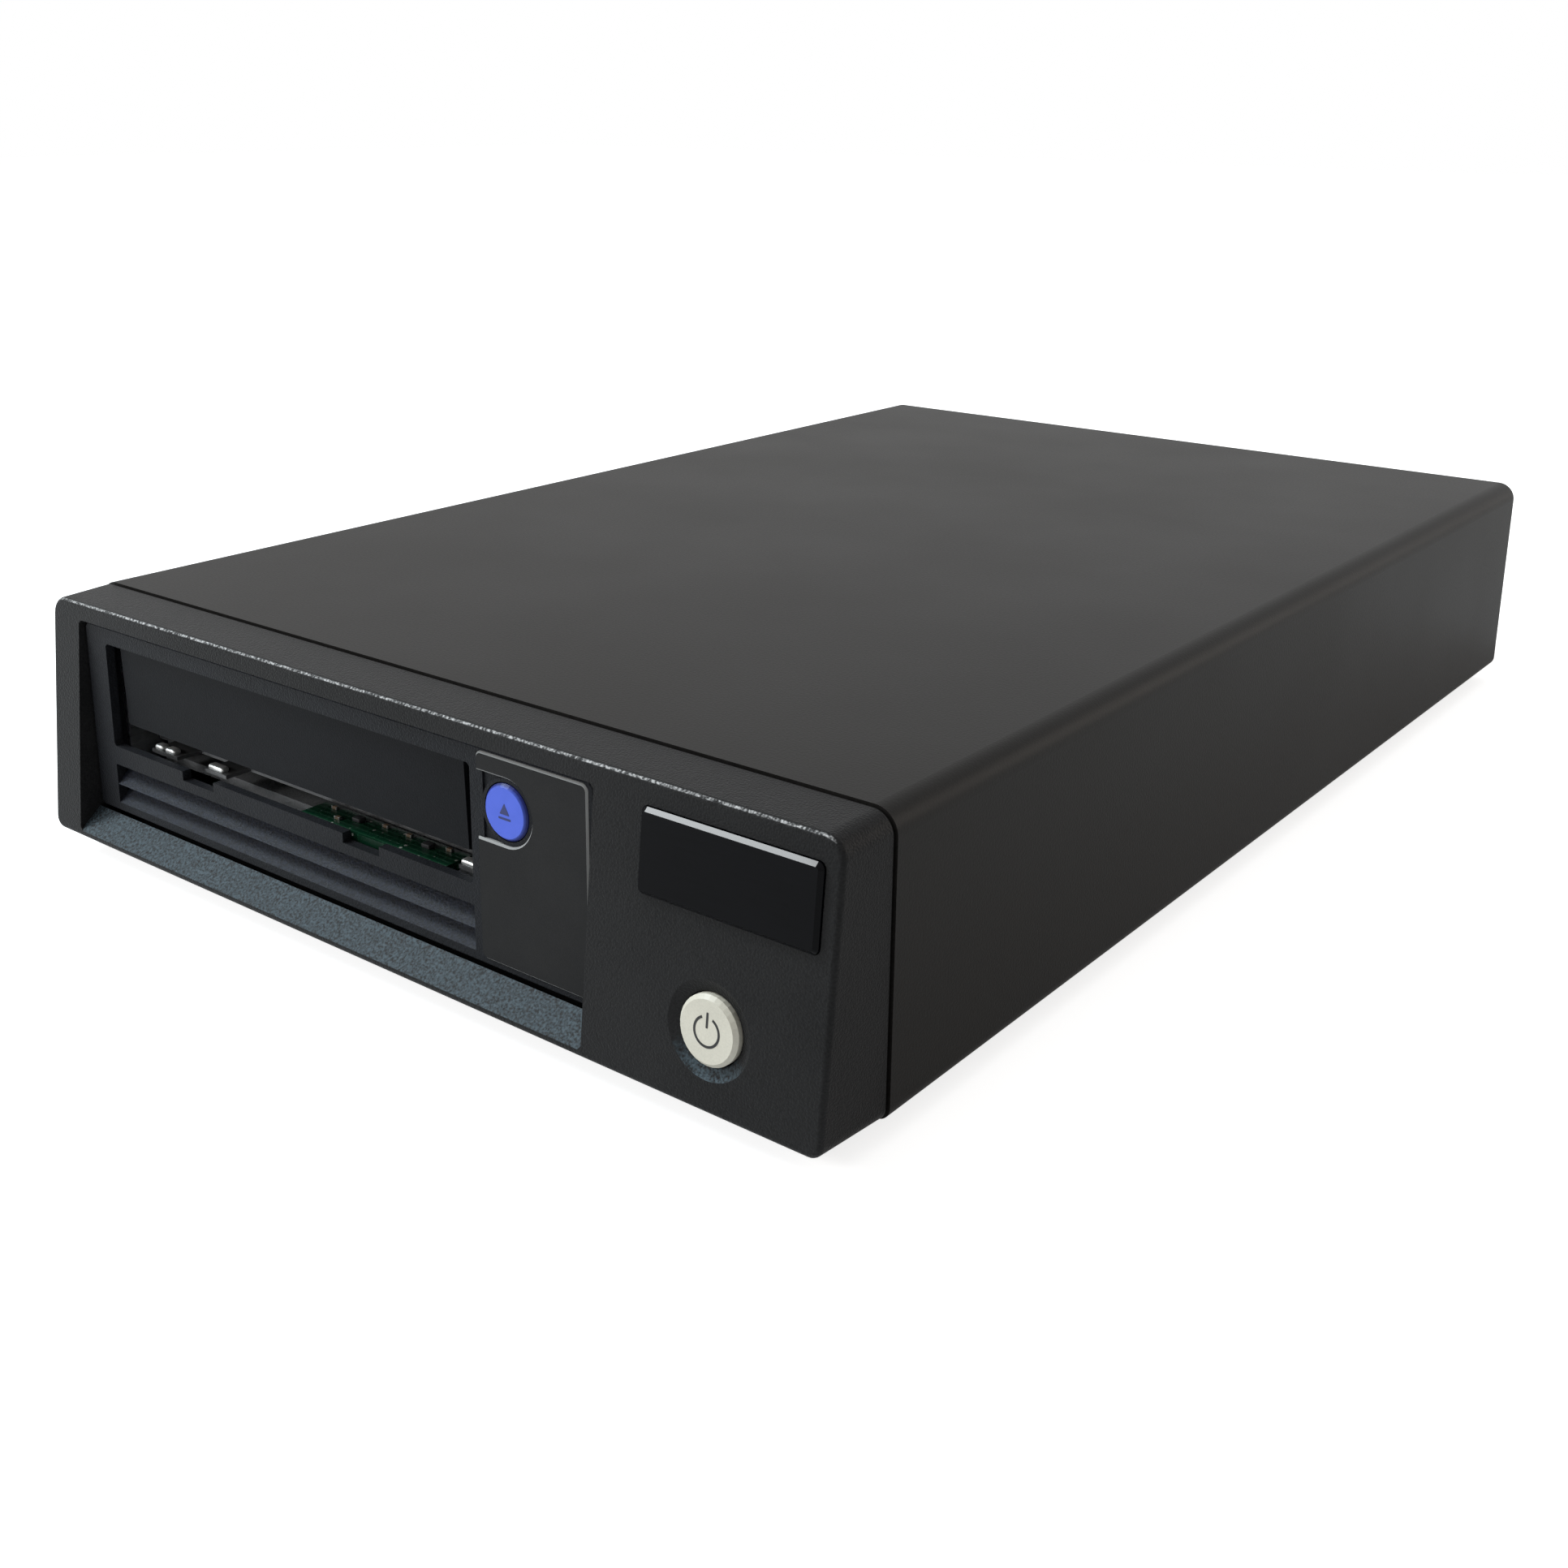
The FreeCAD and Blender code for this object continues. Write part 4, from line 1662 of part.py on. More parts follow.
carved("take_up_motor",
       solid_rod("stator", "z", stator_radius, reel_x, reel_y, deck_top, stator_height, wheel_sides),
       [solid_rod("stator_bore", "z", reel_post * 2, reel_x, reel_y, deck_top, stator_height)],
       drive_place)
reel = Piece("take_up_reel", drive_place[0] + reel_x, drive_place[1] + reel_y, drive_place[2])
skirt_inside = stator_radius + skirt_gap
skirt_outside = skirt_inside + skirt_wall
rotor_roof = stator_top + skirt_gap
hub_inside = reel_hub - reel_hub_wall
reel_bore = reel_post + running_gap
skirt_low = deck_top + skirt_gap
boss_high = reel_top - boss_drop
reel.pad("z", skirt_low, reel_low, flatted(0, 0, skirt_outside, wheel_sides))
reel.pad("z", reel_low, reel_top, flatted(0, 0, reel_hub, wheel_sides))
for level in (reel_low, reel_top - reel_flange):
    reel.pad("z", level, level + reel_flange, flatted(0, 0, reel_radius, reel_sides))
reel.cut("z", skirt_low, rotor_roof, flatted_bore(0, 0, skirt_inside, wheel_sides))
reel.cut("z", boss_high, reel_top, flatted(0, 0, hub_inside, wheel_sides))
reel.cut("z", reel_low + reel_web, boss_high, flatted(0, 0, hub_inside, wheel_sides),
         flatted(0, 0, reel_boss, hub_sides))
reel.cut("z", rotor_roof, boss_high, flatted_bore(0, 0, reel_bore, hub_sides))
reel.cut("z", reel_low, reel_top, outline(
    (window_inner, -window_narrow), (window_outer, -window_wide),
    (window_outer, window_wide), (window_inner, window_narrow)))
reel.around(reel_windows)

# Four flanged rollers lead the tape past the head.
roller_radius = size("roller_radius", 5.0)
roller_flange_radius = size("roller_flange_radius", 6.2)
roller_flange = size("roller_flange", 1.0)
roller_low = size("roller_low", 18.2)
roller_post = size("roller_post", 1.2)
roller_near_x = size("roller_near_x", 52.0)
roller_far_x = size("roller_far_x", 61.0)
roller_front_far = size("roller_front_far", 25.0)
roller_front_near = size("roller_front_near", 15.0)
roller_back_near = size("roller_back_near", 16.5)
roller_back_far = size("roller_back_far", 25.5)
head_rear = size("head_rear", 64.0)
head_y = drive_depth - head_rear
roller_rows = [head_y - roller_front_far, head_y - roller_front_near,
               head_y + roller_back_near, head_y + roller_back_far]
roller_columns = [roller_near_x, roller_far_x, roller_far_x, roller_near_x]
roller_places = list(zip(roller_columns, roller_rows))
roller_top = roller_low + tape_room + roller_flange
roller_foot = roller_low - roller_flange
roller_bore = roller_post + running_gap
for number, (x, y) in enumerate(roller_places):
    roller = Piece("guide_roller_%d" % (number + 1), drive_place[0] + x, drive_place[1] + y, drive_place[2])
    roller.pad("z", roller_foot, roller_top, flatted(0, 0, roller_radius, hub_sides))
    for level in (roller_foot, roller_top - roller_flange):
        roller.pad("z", level, level + roller_flange, flatted(0, 0, roller_flange_radius, hub_sides))
    roller.cut("z", roller_foot, roller_top, flatted_bore(0, 0, roller_bore, hub_sides))

# The head rides a guide rod and is raised and lowered by a lead screw.
head_x = size("head_x", 57.6)
head_width = size("head_width", 6.0)
head_length = size("head_length", 10.0)
head_corner = size("head_corner", 1.0)
head_nose = size("head_nose", 2.2)
head_low = size("head_low", 17.0)
head_height = size("head_height", 16.0)
head_arm = size("head_arm", 4.0)
arm_inset = size("arm_inset", 2.0)
arm_wall = size("arm_wall", 2.6)
head_screw_x = size("head_screw_x", 65.4)
head_screw_radius = size("head_screw_radius", 1.5)
guide_rod_radius = size("guide_rod_radius", 1.2)
guide_rod_back = size("guide_rod_back", 7.4)
head_motor_radius = size("head_motor_radius", 4.6)
head_motor_height = size("head_motor_height", 4.6)
head_post_top = size("head_post_top", 34.6)

head_arm_low = head_low + head_arm
head_arm_top = head_arm_low + head_arm
rod_y = head_y + guide_rod_back
arm_right = head_screw_x + arm_wall
screw_bore = head_screw_radius + running_gap
head = Piece("tape_head", *drive_place)
head.pad("z", head_low, head_low + head_height, bevelled(
    head_x - head_width / 2, head_x + head_width / 2,
    head_y - head_length / 2, head_y + head_length / 2, head_corner))
head.pad("z", head_low, head_low + head_height,
         flatted(head_x - head_width / 2, head_y, head_nose, hub_sides))
head.pad("z", head_arm_low, head_arm_top, outline(
    (head_x - arm_inset, head_y), (head_screw_x, head_y - head_arm), (arm_right, head_y - arm_inset),
    (arm_right, head_y + arm_inset), (head_screw_x, head_y + head_arm),
    (head_x + arm_wall, rod_y + arm_inset), (head_x - arm_wall, rod_y + arm_inset),
    (head_x - arm_wall, head_y)))
head.cut("z", head_arm_low, head_arm_top, flatted_bore(head_screw_x, head_y, screw_bore, hub_sides),
         flatted_bore(head_x, rod_y, guide_rod_radius + running_gap, hub_sides))
carved("head_motor",
       solid_rod("head_motor_can", "z", head_motor_radius, head_screw_x, head_y,
                 deck_top, head_motor_height, hub_sides),
       [solid_rod("head_motor_bore", "z", across_flats(screw_bore, hub_sides), head_screw_x, head_y,
                  deck_top, head_motor_height, hub_sides)], drive_place)
head_screw = Piece("head_screw", *drive_place)
head_screw.pad("z", deck_top + end_gap, head_post_top, circle(head_screw_x, head_y, head_screw_radius))

# The threader: a rail on two posts and a grabber that draws the tape along.
rail_x = size("rail_x", 68.0)
rail_z = size("rail_z", 37.2)
rail_radius = size("rail_radius", 1.2)
rail_front = size("rail_front", 82.0)
rail_rear = size("rail_rear", 35.0)
rail_post = size("rail_post", 2.0)
rail_back = drive_depth - rail_rear
rail_posts = []
for number, y in enumerate((rail_front, rail_back - rail_post)):
    rail_posts.append(solid_block("rail_post_%d" % (number + 1), (rail_x - rail_post, rail_x + rail_post),
                                  (y, y + rail_post), (deck_top, rail_z + rail_post)))
joined("threader_rail", rail_posts + [
    solid_rod("rail_rod", "y", rail_radius, rail_x, rail_front, rail_z,
              rail_back - rail_front, hub_sides)], drive_place)
grabber_start = size("grabber_start", 87.0)
grabber_length = size("grabber_length", 8.0)
grabber_reach = size("grabber_reach", 21.0)
grabber_wall = size("grabber_wall", 0.8)
grabber_plate = size("grabber_plate", 1.2)
jaw_inset = size("jaw_inset", 2.0)
jaw_width = size("jaw_width", 2.5)
jaw_drop = size("jaw_drop", 1.8)
grabber_half = rail_radius + grabber_wall
grabber_top = rail_z + grabber_half
plate_low = grabber_top - grabber_plate
jaw_left = rail_x - grabber_reach
jaw_start = grabber_start + jaw_inset
jaw_end = grabber_start + grabber_length - jaw_inset
grabber = Piece("leader_grabber", *drive_place)
grabber.pad("y", grabber_start, grabber_start + grabber_length, rectangle(
    rail_x - grabber_half, rail_x + grabber_half, rail_z - grabber_half, grabber_top))
grabber.pad("z", plate_low, grabber_top, outline(
    (rail_x, grabber_start), (jaw_left, jaw_start), (jaw_left, jaw_end),
    (rail_x, grabber_start + grabber_length)))
for start in (jaw_start, jaw_end - grabber_plate):
    grabber.pad("z", plate_low - jaw_drop, grabber_top, rectangle(
        jaw_left, jaw_left + jaw_width, start, start + grabber_plate))
grabber.cut("y", grabber_start, grabber_start + grabber_length,
            flatted_bore(rail_x, rail_z, rail_radius + running_gap, hub_sides))

# Deck: the casting that carries it all, on six legs through the board.
deck_front = size("deck_front", 12.0)
deck_rear = size("deck_rear", 8.0)
deck_corner = size("deck_corner", 3.0)
deck_side_gap = size("deck_side_gap", 1.7)
guide_front_low = size("guide_front_low", 15.0)
guide_front_high = size("guide_front_high", 40.0)
guide_back_low = size("guide_back_low", 79.5)
guide_back_high = size("guide_back_high", 102.0)
guide_top = size("guide_top", 30.0)
guide_slack = size("guide_slack", 0.5)
post_rise = size("post_rise", 0.5)
deck_bite = size("deck_bite", 0.5)
roller_seat = size("roller_seat", 2.4)
deck_half = half_drive - drive_sheet - deck_side_gap
deck_tie = deck_top - deck_bite
ramp_top = guide_pin_z + slot_half + guide_slack
ramp_floor = guide_pin_z - load_drop - slot_half - guide_slack
ramp_front = slot_half + guide_slack
ramp_back = load_travel + slot_half + guide_slack
deck = Piece("deck_casting", *drive_place)
deck.pad("z", deck_low, deck_top,
         bevelled(-deck_half, deck_half, deck_front, drive_depth - deck_rear, deck_corner),
         flatted_bore(slot_middle, hub_y, deck_hole, wheel_sides))
deck.pad("z", drive_sheet, deck_low + deck_bite, *[flatted(x, y, deck_leg_radius) for x, y in leg_spots])
for low_end, high_end in both_sides(guide_inside, guide_outside):
    deck.pad("x", low_end, high_end, rectangle(guide_front_low, guide_front_high, deck_tie, guide_top),
             rectangle(guide_back_low, guide_back_high, deck_tie, guide_top))
    deck.cut("x", low_end, high_end, *[outline(
        (row - ramp_front, ramp_top), (row - ramp_front, guide_pin_z - slot_half),
        (row + load_travel - slot_half, ramp_floor), (row + ramp_back, ramp_floor),
        (row + ramp_back, guide_pin_z - load_drop + slot_half), (row + slot_half, ramp_top))
        for row in guide_pins])
deck.pad("z", deck_tie, wheel_top, circle(gear_x, gear_y, gear_post))
deck.pad("z", deck_tie, reel_top - boss_drop, circle(reel_x, reel_y, reel_post))
deck.pad("z", deck_tie, roller_top + post_rise,
         *[flatted(x, y, roller_post, hub_sides) for x, y in roller_places])
deck.pad("z", deck_tie, roller_foot - end_gap, *[flatted(x, y, roller_seat) for x, y in roller_places])
deck.pad("z", deck_tie, head_post_top, flatted(head_x, rod_y, guide_rod_radius, hub_sides))


# --------------------------------------------------------- check and write

doc.recompute()
faults = [item.Name for item in doc.Objects if "Invalid" in item.State or "Error" in item.State]
if faults:
    raise RuntimeError("features that failed: " + ", ".join(faults))
os.makedirs("parts", exist_ok=True)
for piece in pieces:
    if piece.Shape.isNull() or not piece.Shape.isValid():
        raise RuntimeError(piece.Label + " has no valid shape")
for piece in pieces:
    piece.Shape.exportStep("parts/%s.step" % piece.Label)
print("%d sub-parts written" % len(pieces))
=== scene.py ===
import math

import bmesh
import bpy
from mathutils import Matrix, Vector


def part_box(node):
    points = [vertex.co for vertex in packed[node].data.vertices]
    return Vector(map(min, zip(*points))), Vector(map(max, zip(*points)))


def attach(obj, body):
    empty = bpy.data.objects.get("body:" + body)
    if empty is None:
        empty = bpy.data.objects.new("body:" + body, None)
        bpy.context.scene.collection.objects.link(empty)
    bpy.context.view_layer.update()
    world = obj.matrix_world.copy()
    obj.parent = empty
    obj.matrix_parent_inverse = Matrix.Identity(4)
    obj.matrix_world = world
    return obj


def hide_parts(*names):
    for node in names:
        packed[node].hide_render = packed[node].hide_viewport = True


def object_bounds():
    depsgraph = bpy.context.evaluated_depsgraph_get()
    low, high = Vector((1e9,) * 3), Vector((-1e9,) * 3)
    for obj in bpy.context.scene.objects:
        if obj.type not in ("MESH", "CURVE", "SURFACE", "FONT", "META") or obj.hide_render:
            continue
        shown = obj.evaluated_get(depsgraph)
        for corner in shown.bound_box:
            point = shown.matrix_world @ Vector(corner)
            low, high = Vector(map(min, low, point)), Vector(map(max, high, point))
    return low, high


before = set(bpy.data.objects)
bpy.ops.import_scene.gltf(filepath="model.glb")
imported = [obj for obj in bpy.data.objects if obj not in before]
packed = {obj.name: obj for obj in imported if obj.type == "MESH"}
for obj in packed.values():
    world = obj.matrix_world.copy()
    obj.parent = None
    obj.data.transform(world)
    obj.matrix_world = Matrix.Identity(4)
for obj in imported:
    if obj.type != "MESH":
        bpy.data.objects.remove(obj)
packed_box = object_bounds()


# Bench and backdrop: a pale matt floor under a white studio wall. The floor
# keeps the drive's shadow, and both show white to the camera and in metal.
def shows_white(graph, lit, mirrored, seen):
    """Strength for plain light, for what metal or glass mirrors, and for the camera."""
    path = graph.nodes.new("ShaderNodeLightPath")
    strength = lit
    for rays, bright in (("Is Glossy Ray", mirrored), ("Is Transmission Ray", mirrored),
                         ("Is Camera Ray", seen)):
        choice = graph.nodes.new("ShaderNodeMapRange")
        graph.links.new(path.outputs[rays], choice.inputs["Value"])
        choice.inputs["To Max"].default_value = bright
        if isinstance(strength, float):
            choice.inputs["To Min"].default_value = strength
        else:
            graph.links.new(strength, choice.inputs["To Min"])
        strength = choice.outputs["Result"]
    return strength


bench_side, bench_gap = 8, 0.0002
bpy.ops.object.select_all(action="DESELECT")
bpy.ops.mesh.primitive_plane_add(size=bench_side, location=(0, 0, packed_box[0].z - bench_gap))
bench = bpy.context.object
bench.name = "bench"
bench_paper = bpy.data.materials.new("bench_paper")
bench_paper.use_nodes = True
paper = bench_paper.node_tree
paper_shader = paper.nodes["Principled BSDF"]
paper_shader.inputs["Base Color"].default_value = (0.82, 0.82, 0.82, 1)
paper_shader.inputs["Roughness"].default_value = 0.9
paper_shader.inputs["Specular IOR Level"].default_value = 0.0
paper_glow = paper.nodes.new("ShaderNodeEmission")
paper.links.new(shows_white(paper, lit=0.0, mirrored=0.2, seen=0.74), paper_glow.inputs["Strength"])
paper_sum = paper.nodes.new("ShaderNodeAddShader")
paper.links.new(paper_shader.outputs[0], paper_sum.inputs[0])
paper.links.new(paper_glow.outputs[0], paper_sum.inputs[1])
paper.links.new(paper_sum.outputs[0], paper.nodes["Material Output"].inputs["Surface"])
bench.data.materials.append(bench_paper)

wall = bpy.data.worlds.new("studio_wall")
wall.use_nodes = True
wall_paint = wall.node_tree.nodes["Background"]
wall_paint.inputs["Color"].default_value = (1, 1, 1, 1)
wall.node_tree.links.new(shows_white(wall.node_tree, lit=0.32, mirrored=1.0, seen=1.0),
                         wall_paint.inputs["Strength"])
bpy.context.scene.world = wall
bpy.context.scene.view_settings.view_transform = "Standard"


# Lamps: a small bright box high on the left, a long cool one that slopes
# down beside it, and wide weak ones in front, overhead and behind.
def soft_box(name, place, aim, wide, high, power, colour=(1, 1, 1)):
    """A rectangular area lamp at a place in metres, turned to its aim."""
    lamp = bpy.data.objects.new(name, bpy.data.lights.new(name, "AREA"))
    lamp.data.shape = "RECTANGLE"
    lamp.data.size, lamp.data.size_y, lamp.data.energy = wide, high, power
    lamp.data.color = colour
    bpy.context.collection.objects.link(lamp)
    lamp.location = place
    lamp.rotation_euler = (Vector(aim) - Vector(place)).to_track_quat("-Z", "Y").to_euler()


soft_box("high_soft_box", (-0.785, -0.54, 1.21), (0.085, -0.162, 0.05),
         wide=0.28, high=0.22, power=10)
soft_box("left_soft_box", (-0.99, -0.6, 1.05), (0, -0.16, 0.02),
         wide=0.32, high=0.7, power=14, colour=(0.76, 0.92, 1.0))
soft_box("front_soft_box", (-0.7, -1.14, 0.65), (0.08, -0.165, 0.01),
         wide=0.3, high=0.25, power=7)
soft_box("top_soft_box", (0.2, 0.3, 1.8), (0, 0, 0.03),
         wide=1.4, high=1.4, power=4)
soft_box("rear_soft_box", (1.2, 1.2, 0.6), (0, 0.1, 0.03),
         wide=1.0, high=0.8, power=7, colour=(1.0, 0.9, 0.8))

# Camera: half a metre off, to the right of the drive's front and a little
# above it, looking down sixteen degrees with half a degree of lean.
looked_at, away = Vector((-0.04249, 0.0079, 0.02945)), 0.48911
swing, dip, lean = math.radians(38.03), math.radians(15.84), math.radians(0.47)
across = Vector((math.cos(swing), math.sin(swing), 0))
behind = Vector((math.sin(swing) * math.cos(dip), -math.cos(swing) * math.cos(dip), math.sin(dip)))
upward = behind.cross(across)
camera_x = across * math.cos(lean) + upward * math.sin(lean)
camera_y = upward * math.cos(lean) - across * math.sin(lean)
camera = bpy.data.objects.new("bench_camera", bpy.data.cameras.new("bench_camera"))
bpy.context.collection.objects.link(camera)
camera.matrix_world = Matrix.Translation(looked_at + behind * away) @ Matrix(
    (camera_x, camera_y, behind)).transposed().to_4x4()
camera.data.sensor_width = 36
camera.data.lens = 41.378
camera.data.shift_x, camera.data.shift_y = 0.01415, -0.114
camera.data.clip_start = 0.01
bpy.context.scene.camera = camera


# Cover and rear panel: folded steel sheet, baked with a satin black paint
# that dries with a fine orange peel and drifts a little in tone.
def new_finish(name, metallic=0.0, specular=0.5):
    """A finish's material, its shader and its Object coordinates."""
    finish = bpy.data.materials.new(name)
    finish.use_nodes = True
    shader = finish.node_tree.nodes["Principled BSDF"]
    shader.inputs["Metallic"].default_value = metallic
    shader.inputs["Specular IOR Level"].default_value = specular
    place = finish.node_tree.nodes.new("ShaderNodeTexCoord").outputs["Object"]
    return finish, shader, place


def laid(finish, place, centre=(0, 0, 0), stretch=(1, 1, 1)):
    """Centres and stretches a pattern on its piece."""
    run = finish.node_tree.nodes.new("ShaderNodeMapping")
    run.vector_type = "TEXTURE"
    run.inputs["Location"].default_value = centre
    run.inputs["Scale"].default_value = stretch
    finish.node_tree.links.new(place, run.inputs["Vector"])
    return run.outputs["Vector"]


def ramp(finish, value, start, end, low=0.0, high=1.0):
    """Runs from low to high while the value runs from start to end."""
    node = finish.node_tree.nodes.new("ShaderNodeMapRange")
    for socket, number in (("From Min", start), ("From Max", end), ("To Min", low),
                           ("To Max", high)):
        node.inputs[socket].default_value = number
    finish.node_tree.links.new(value, node.inputs["Value"])
    return node.outputs["Result"]


def cloud(finish, place, size, detail=3.0):
    """Soft noise of the given size in metres, its usual range spread to 0 to 1."""
    noise = finish.node_tree.nodes.new("ShaderNodeTexNoise")
    noise.inputs["Scale"].default_value = 1 / size
    noise.inputs["Detail"].default_value = detail
    finish.node_tree.links.new(place, noise.inputs["Vector"])
    return ramp(finish, noise.outputs["Fac"], 0.32, 0.68)


def combine(finish, how, first, second):
    """One number from two, either of which may be a plain value."""
    node = finish.node_tree.nodes.new("ShaderNodeMath")
    node.operation = how
    for socket, value in zip(node.inputs, (first, second)):
        if isinstance(value, (int, float)):
            socket.default_value = value
        else:
            finish.node_tree.links.new(value, socket)
    return node.outputs[0]


def between(finish, factor, first, second):
    """A colour between two, each a plain colour or another socket."""
    node = finish.node_tree.nodes.new("ShaderNodeMix")
    node.data_type = "RGBA"
    finish.node_tree.links.new(factor, node.inputs["Factor"])
    for socket, value in ((node.inputs[6], first), (node.inputs[7], second)):
        if isinstance(value, tuple):
            socket.default_value = (*value, 1)
        else:
            finish.node_tree.links.new(value, socket)
    return node.outputs[2]


def gloss_range(finish, shader, factor, low, high):
    """Roughness that runs from low to high with the factor."""
    finish.node_tree.links.new(ramp(finish, factor, 0.0, 1.0, low, high),
                               shader.inputs["Roughness"])


def raised(finish, shader, height, depth):
    """Relief of the given depth in metres."""
    node = finish.node_tree.nodes.new("ShaderNodeBump")
    node.inputs["Strength"].default_value = 1.0
    node.inputs["Distance"].default_value = depth
    finish.node_tree.links.new(height, node.inputs["Height"])
    finish.node_tree.links.new(node.outputs["Normal"], shader.inputs["Normal"])


def coloured(finish, shader, colour):
    """Links a colour to the shader."""
    finish.node_tree.links.new(colour, shader.inputs["Base Color"])


def grained(name, dark, light, patch, grain, depth, smooth, rough, specular=0.5, metallic=0.0,
            stretch=(1, 1, 1)):
    """A finish that drifts in tone over a patch and has a fine raised grain."""
    finish, shader, place = new_finish(name, metallic, specular)
    drift = cloud(finish, place, patch)
    speck = cloud(finish, laid(finish, place, stretch=stretch), grain, 2.0)
    tone = combine(finish, "MULTIPLY", combine(finish, "ADD", drift, speck), 0.5)
    coloured(finish, shader, between(finish, tone, dark, light))
    gloss_range(finish, shader, tone, smooth, rough)
    raised(finish, shader, speck, depth)
    return finish


def dress(finish, *names):
    """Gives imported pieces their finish."""
    for name in names:
        for slot in packed[name].material_slots:
            slot.material = finish


satin_black_paint = grained(
    "satin_black_paint", (0.006, 0.0055, 0.005), (0.0115, 0.0106, 0.0098), patch=0.05, grain=0.0005,
    depth=0.000012, smooth=0.4, rough=0.48, specular=0.085)
dress(satin_black_paint, "top_cover", "rear_panel")


# Tray and drive brackets: zinc-coated sheet. The coating sets in large
# crystals, each with its own tone, and the rolls leave faint lines.
def zinc_coat(name, dark, light, crystal, smooth, rough, line=0.0006, line_length=30):
    """Zinc coating with crystals and roll lines of the given sizes in metres."""
    finish, shader, place = new_finish(name, metallic=1.0)
    cells = finish.node_tree.nodes.new("ShaderNodeTexVoronoi")
    cells.inputs["Scale"].default_value = 1 / crystal
    finish.node_tree.links.new(place, cells.inputs["Vector"])
    split = finish.node_tree.nodes.new("ShaderNodeSeparateColor")
    finish.node_tree.links.new(cells.outputs["Color"], split.inputs["Color"])
    lines = cloud(finish, laid(finish, place, stretch=(1, line_length, 1)), line)
    tone = combine(finish, "ADD", combine(finish, "MULTIPLY", split.outputs[0], 0.7),
                   combine(finish, "MULTIPLY", lines, 0.3))
    coloured(finish, shader, between(finish, tone, dark, light))
    gloss_range(finish, shader, tone, smooth, rough)
    raised(finish, shader, lines, 0.000004)
    return finish


zinc_sheet = zinc_coat(
    "zinc_sheet", (0.36, 0.37, 0.39), (0.6, 0.61, 0.62), crystal=0.006, smooth=0.28, rough=0.45)
dress(zinc_sheet, "base_tray", "drive_bracket_left", "drive_bracket_right")

# Feet: moulded rubber pads with their glue under them, pressed on below the
# cover's flanges. The rubber is dull and slightly dusty.
foot_rubber = grained(
    "foot_rubber", (0.012, 0.012, 0.012), (0.03, 0.029, 0.028), patch=0.004, grain=0.0003,
    depth=0.00002, smooth=0.75, rough=0.9, specular=0.25)
dress(foot_rubber, "rubber_foot_front_left", "rubber_foot_rear_left", "rubber_foot_front_right",
      "rubber_foot_rear_right")


# Screws: pan heads with a cross recess, cold headed from steel wire, black
# outside and plated inside. Each group has one pattern at its own size,
# copied to every hole.
def pick_faces(test):
    """In edit mode, selects the faces whose middle and normal pass the test."""
    bpy.ops.mesh.select_mode(type="FACE")
    bpy.ops.mesh.select_all(action="DESELECT")
    mesh = bpy.context.edit_object.data
    shape = bmesh.from_edit_mesh(mesh)
    for face in shape.faces:
        face.select_set(test(face.calc_center_median(), face.normal))
    bmesh.update_edit_mesh(mesh)


def alone(piece):
    """Makes a piece the only one selected, and active."""
    bpy.ops.object.select_all(action="DESELECT")
    piece.select_set(True)
    bpy.context.view_layer.objects.active = piece
    return piece


def blank(add, **sizes):
    """One primitive by itself, its place and scale applied."""
    bpy.ops.object.select_all(action="DESELECT")
    add(**sizes)
    bpy.ops.object.transform_apply(location=True, rotation=True, scale=True)
    return bpy.context.object


def rounded_block(name, low, high, edge, rows=2):
    """A block between two corners in millimetres with rounded edges."""
    piece = blank(bpy.ops.mesh.primitive_cube_add, size=1,
                  location=[(a + b) / 2000 for a, b in zip(low, high)],
                  scale=[(b - a) / 1000 for a, b in zip(low, high)])
    piece.name = name
    bpy.ops.object.mode_set(mode="EDIT")
    bpy.ops.mesh.select_all(action="SELECT")
    bpy.ops.mesh.bevel(offset=edge / 1000, segments=rows, affect="EDGES")
    bpy.ops.object.mode_set(mode="OBJECT")
    return piece


def copied(piece, place):
    """A copy with its own mesh, moved by a matrix or by millimetres."""
    other = piece.copy()
    other.data = piece.data.copy()
    if not isinstance(place, Matrix):
        place = Matrix.Translation(Vector(place) / 1000)
    other.data.transform(place)
    bpy.context.collection.objects.link(other)
    return other


def joined(name, pieces):
    """Several pieces as one."""
    alone(pieces[0])
    for piece in pieces:
        piece.select_set(True)
    bpy.ops.object.join()
    pieces[0].name = name
    return pieces[0]


def fit(piece, finish, body, slot, *stands_for):
    """Gives a piece its finish, smooths it and fixes it to its body."""
    alone(piece)
    piece.data.materials.clear()
    piece.data.materials.append(finish)
    bpy.ops.object.shade_smooth_by_angle(angle=math.radians(35))
    if stands_for:
        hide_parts(*stands_for)
    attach(piece, body)


def screw_islands(node):
    """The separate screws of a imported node, each as a list of its points."""
    shell = bmesh.new()
    shell.from_mesh(packed[node].data)
    bmesh.ops.remove_doubles(shell, verts=shell.verts, dist=1e-6)
    waiting, found = set(shell.verts), []
    for start in shell.verts:
        if start not in waiting:
            continue
        waiting.remove(start)
        reached = [start]
        for vert in reached:
            for edge in vert.link_edges:
                other = edge.other_vert(vert)
                if other in waiting:
                    waiting.remove(other)
                    reached.append(other)
        found.append([vert.co.copy() for vert in reached])
    shell.free()
    return found


def extent(points):
    """Low corner, high corner and middle of some points."""
    low = [min(point[i] for point in points) for i in range(3)]
    high = [max(point[i] for point in points) for i in range(3)]
    return low, high, Vector([(a + b) / 2 for a, b in zip(low, high)])


def from_axis(point, middle, along):
    """How far a point is from the line through the middle along an axis."""
    return Vector([point[i] - middle[i] for i in range(3) if i != along]).length


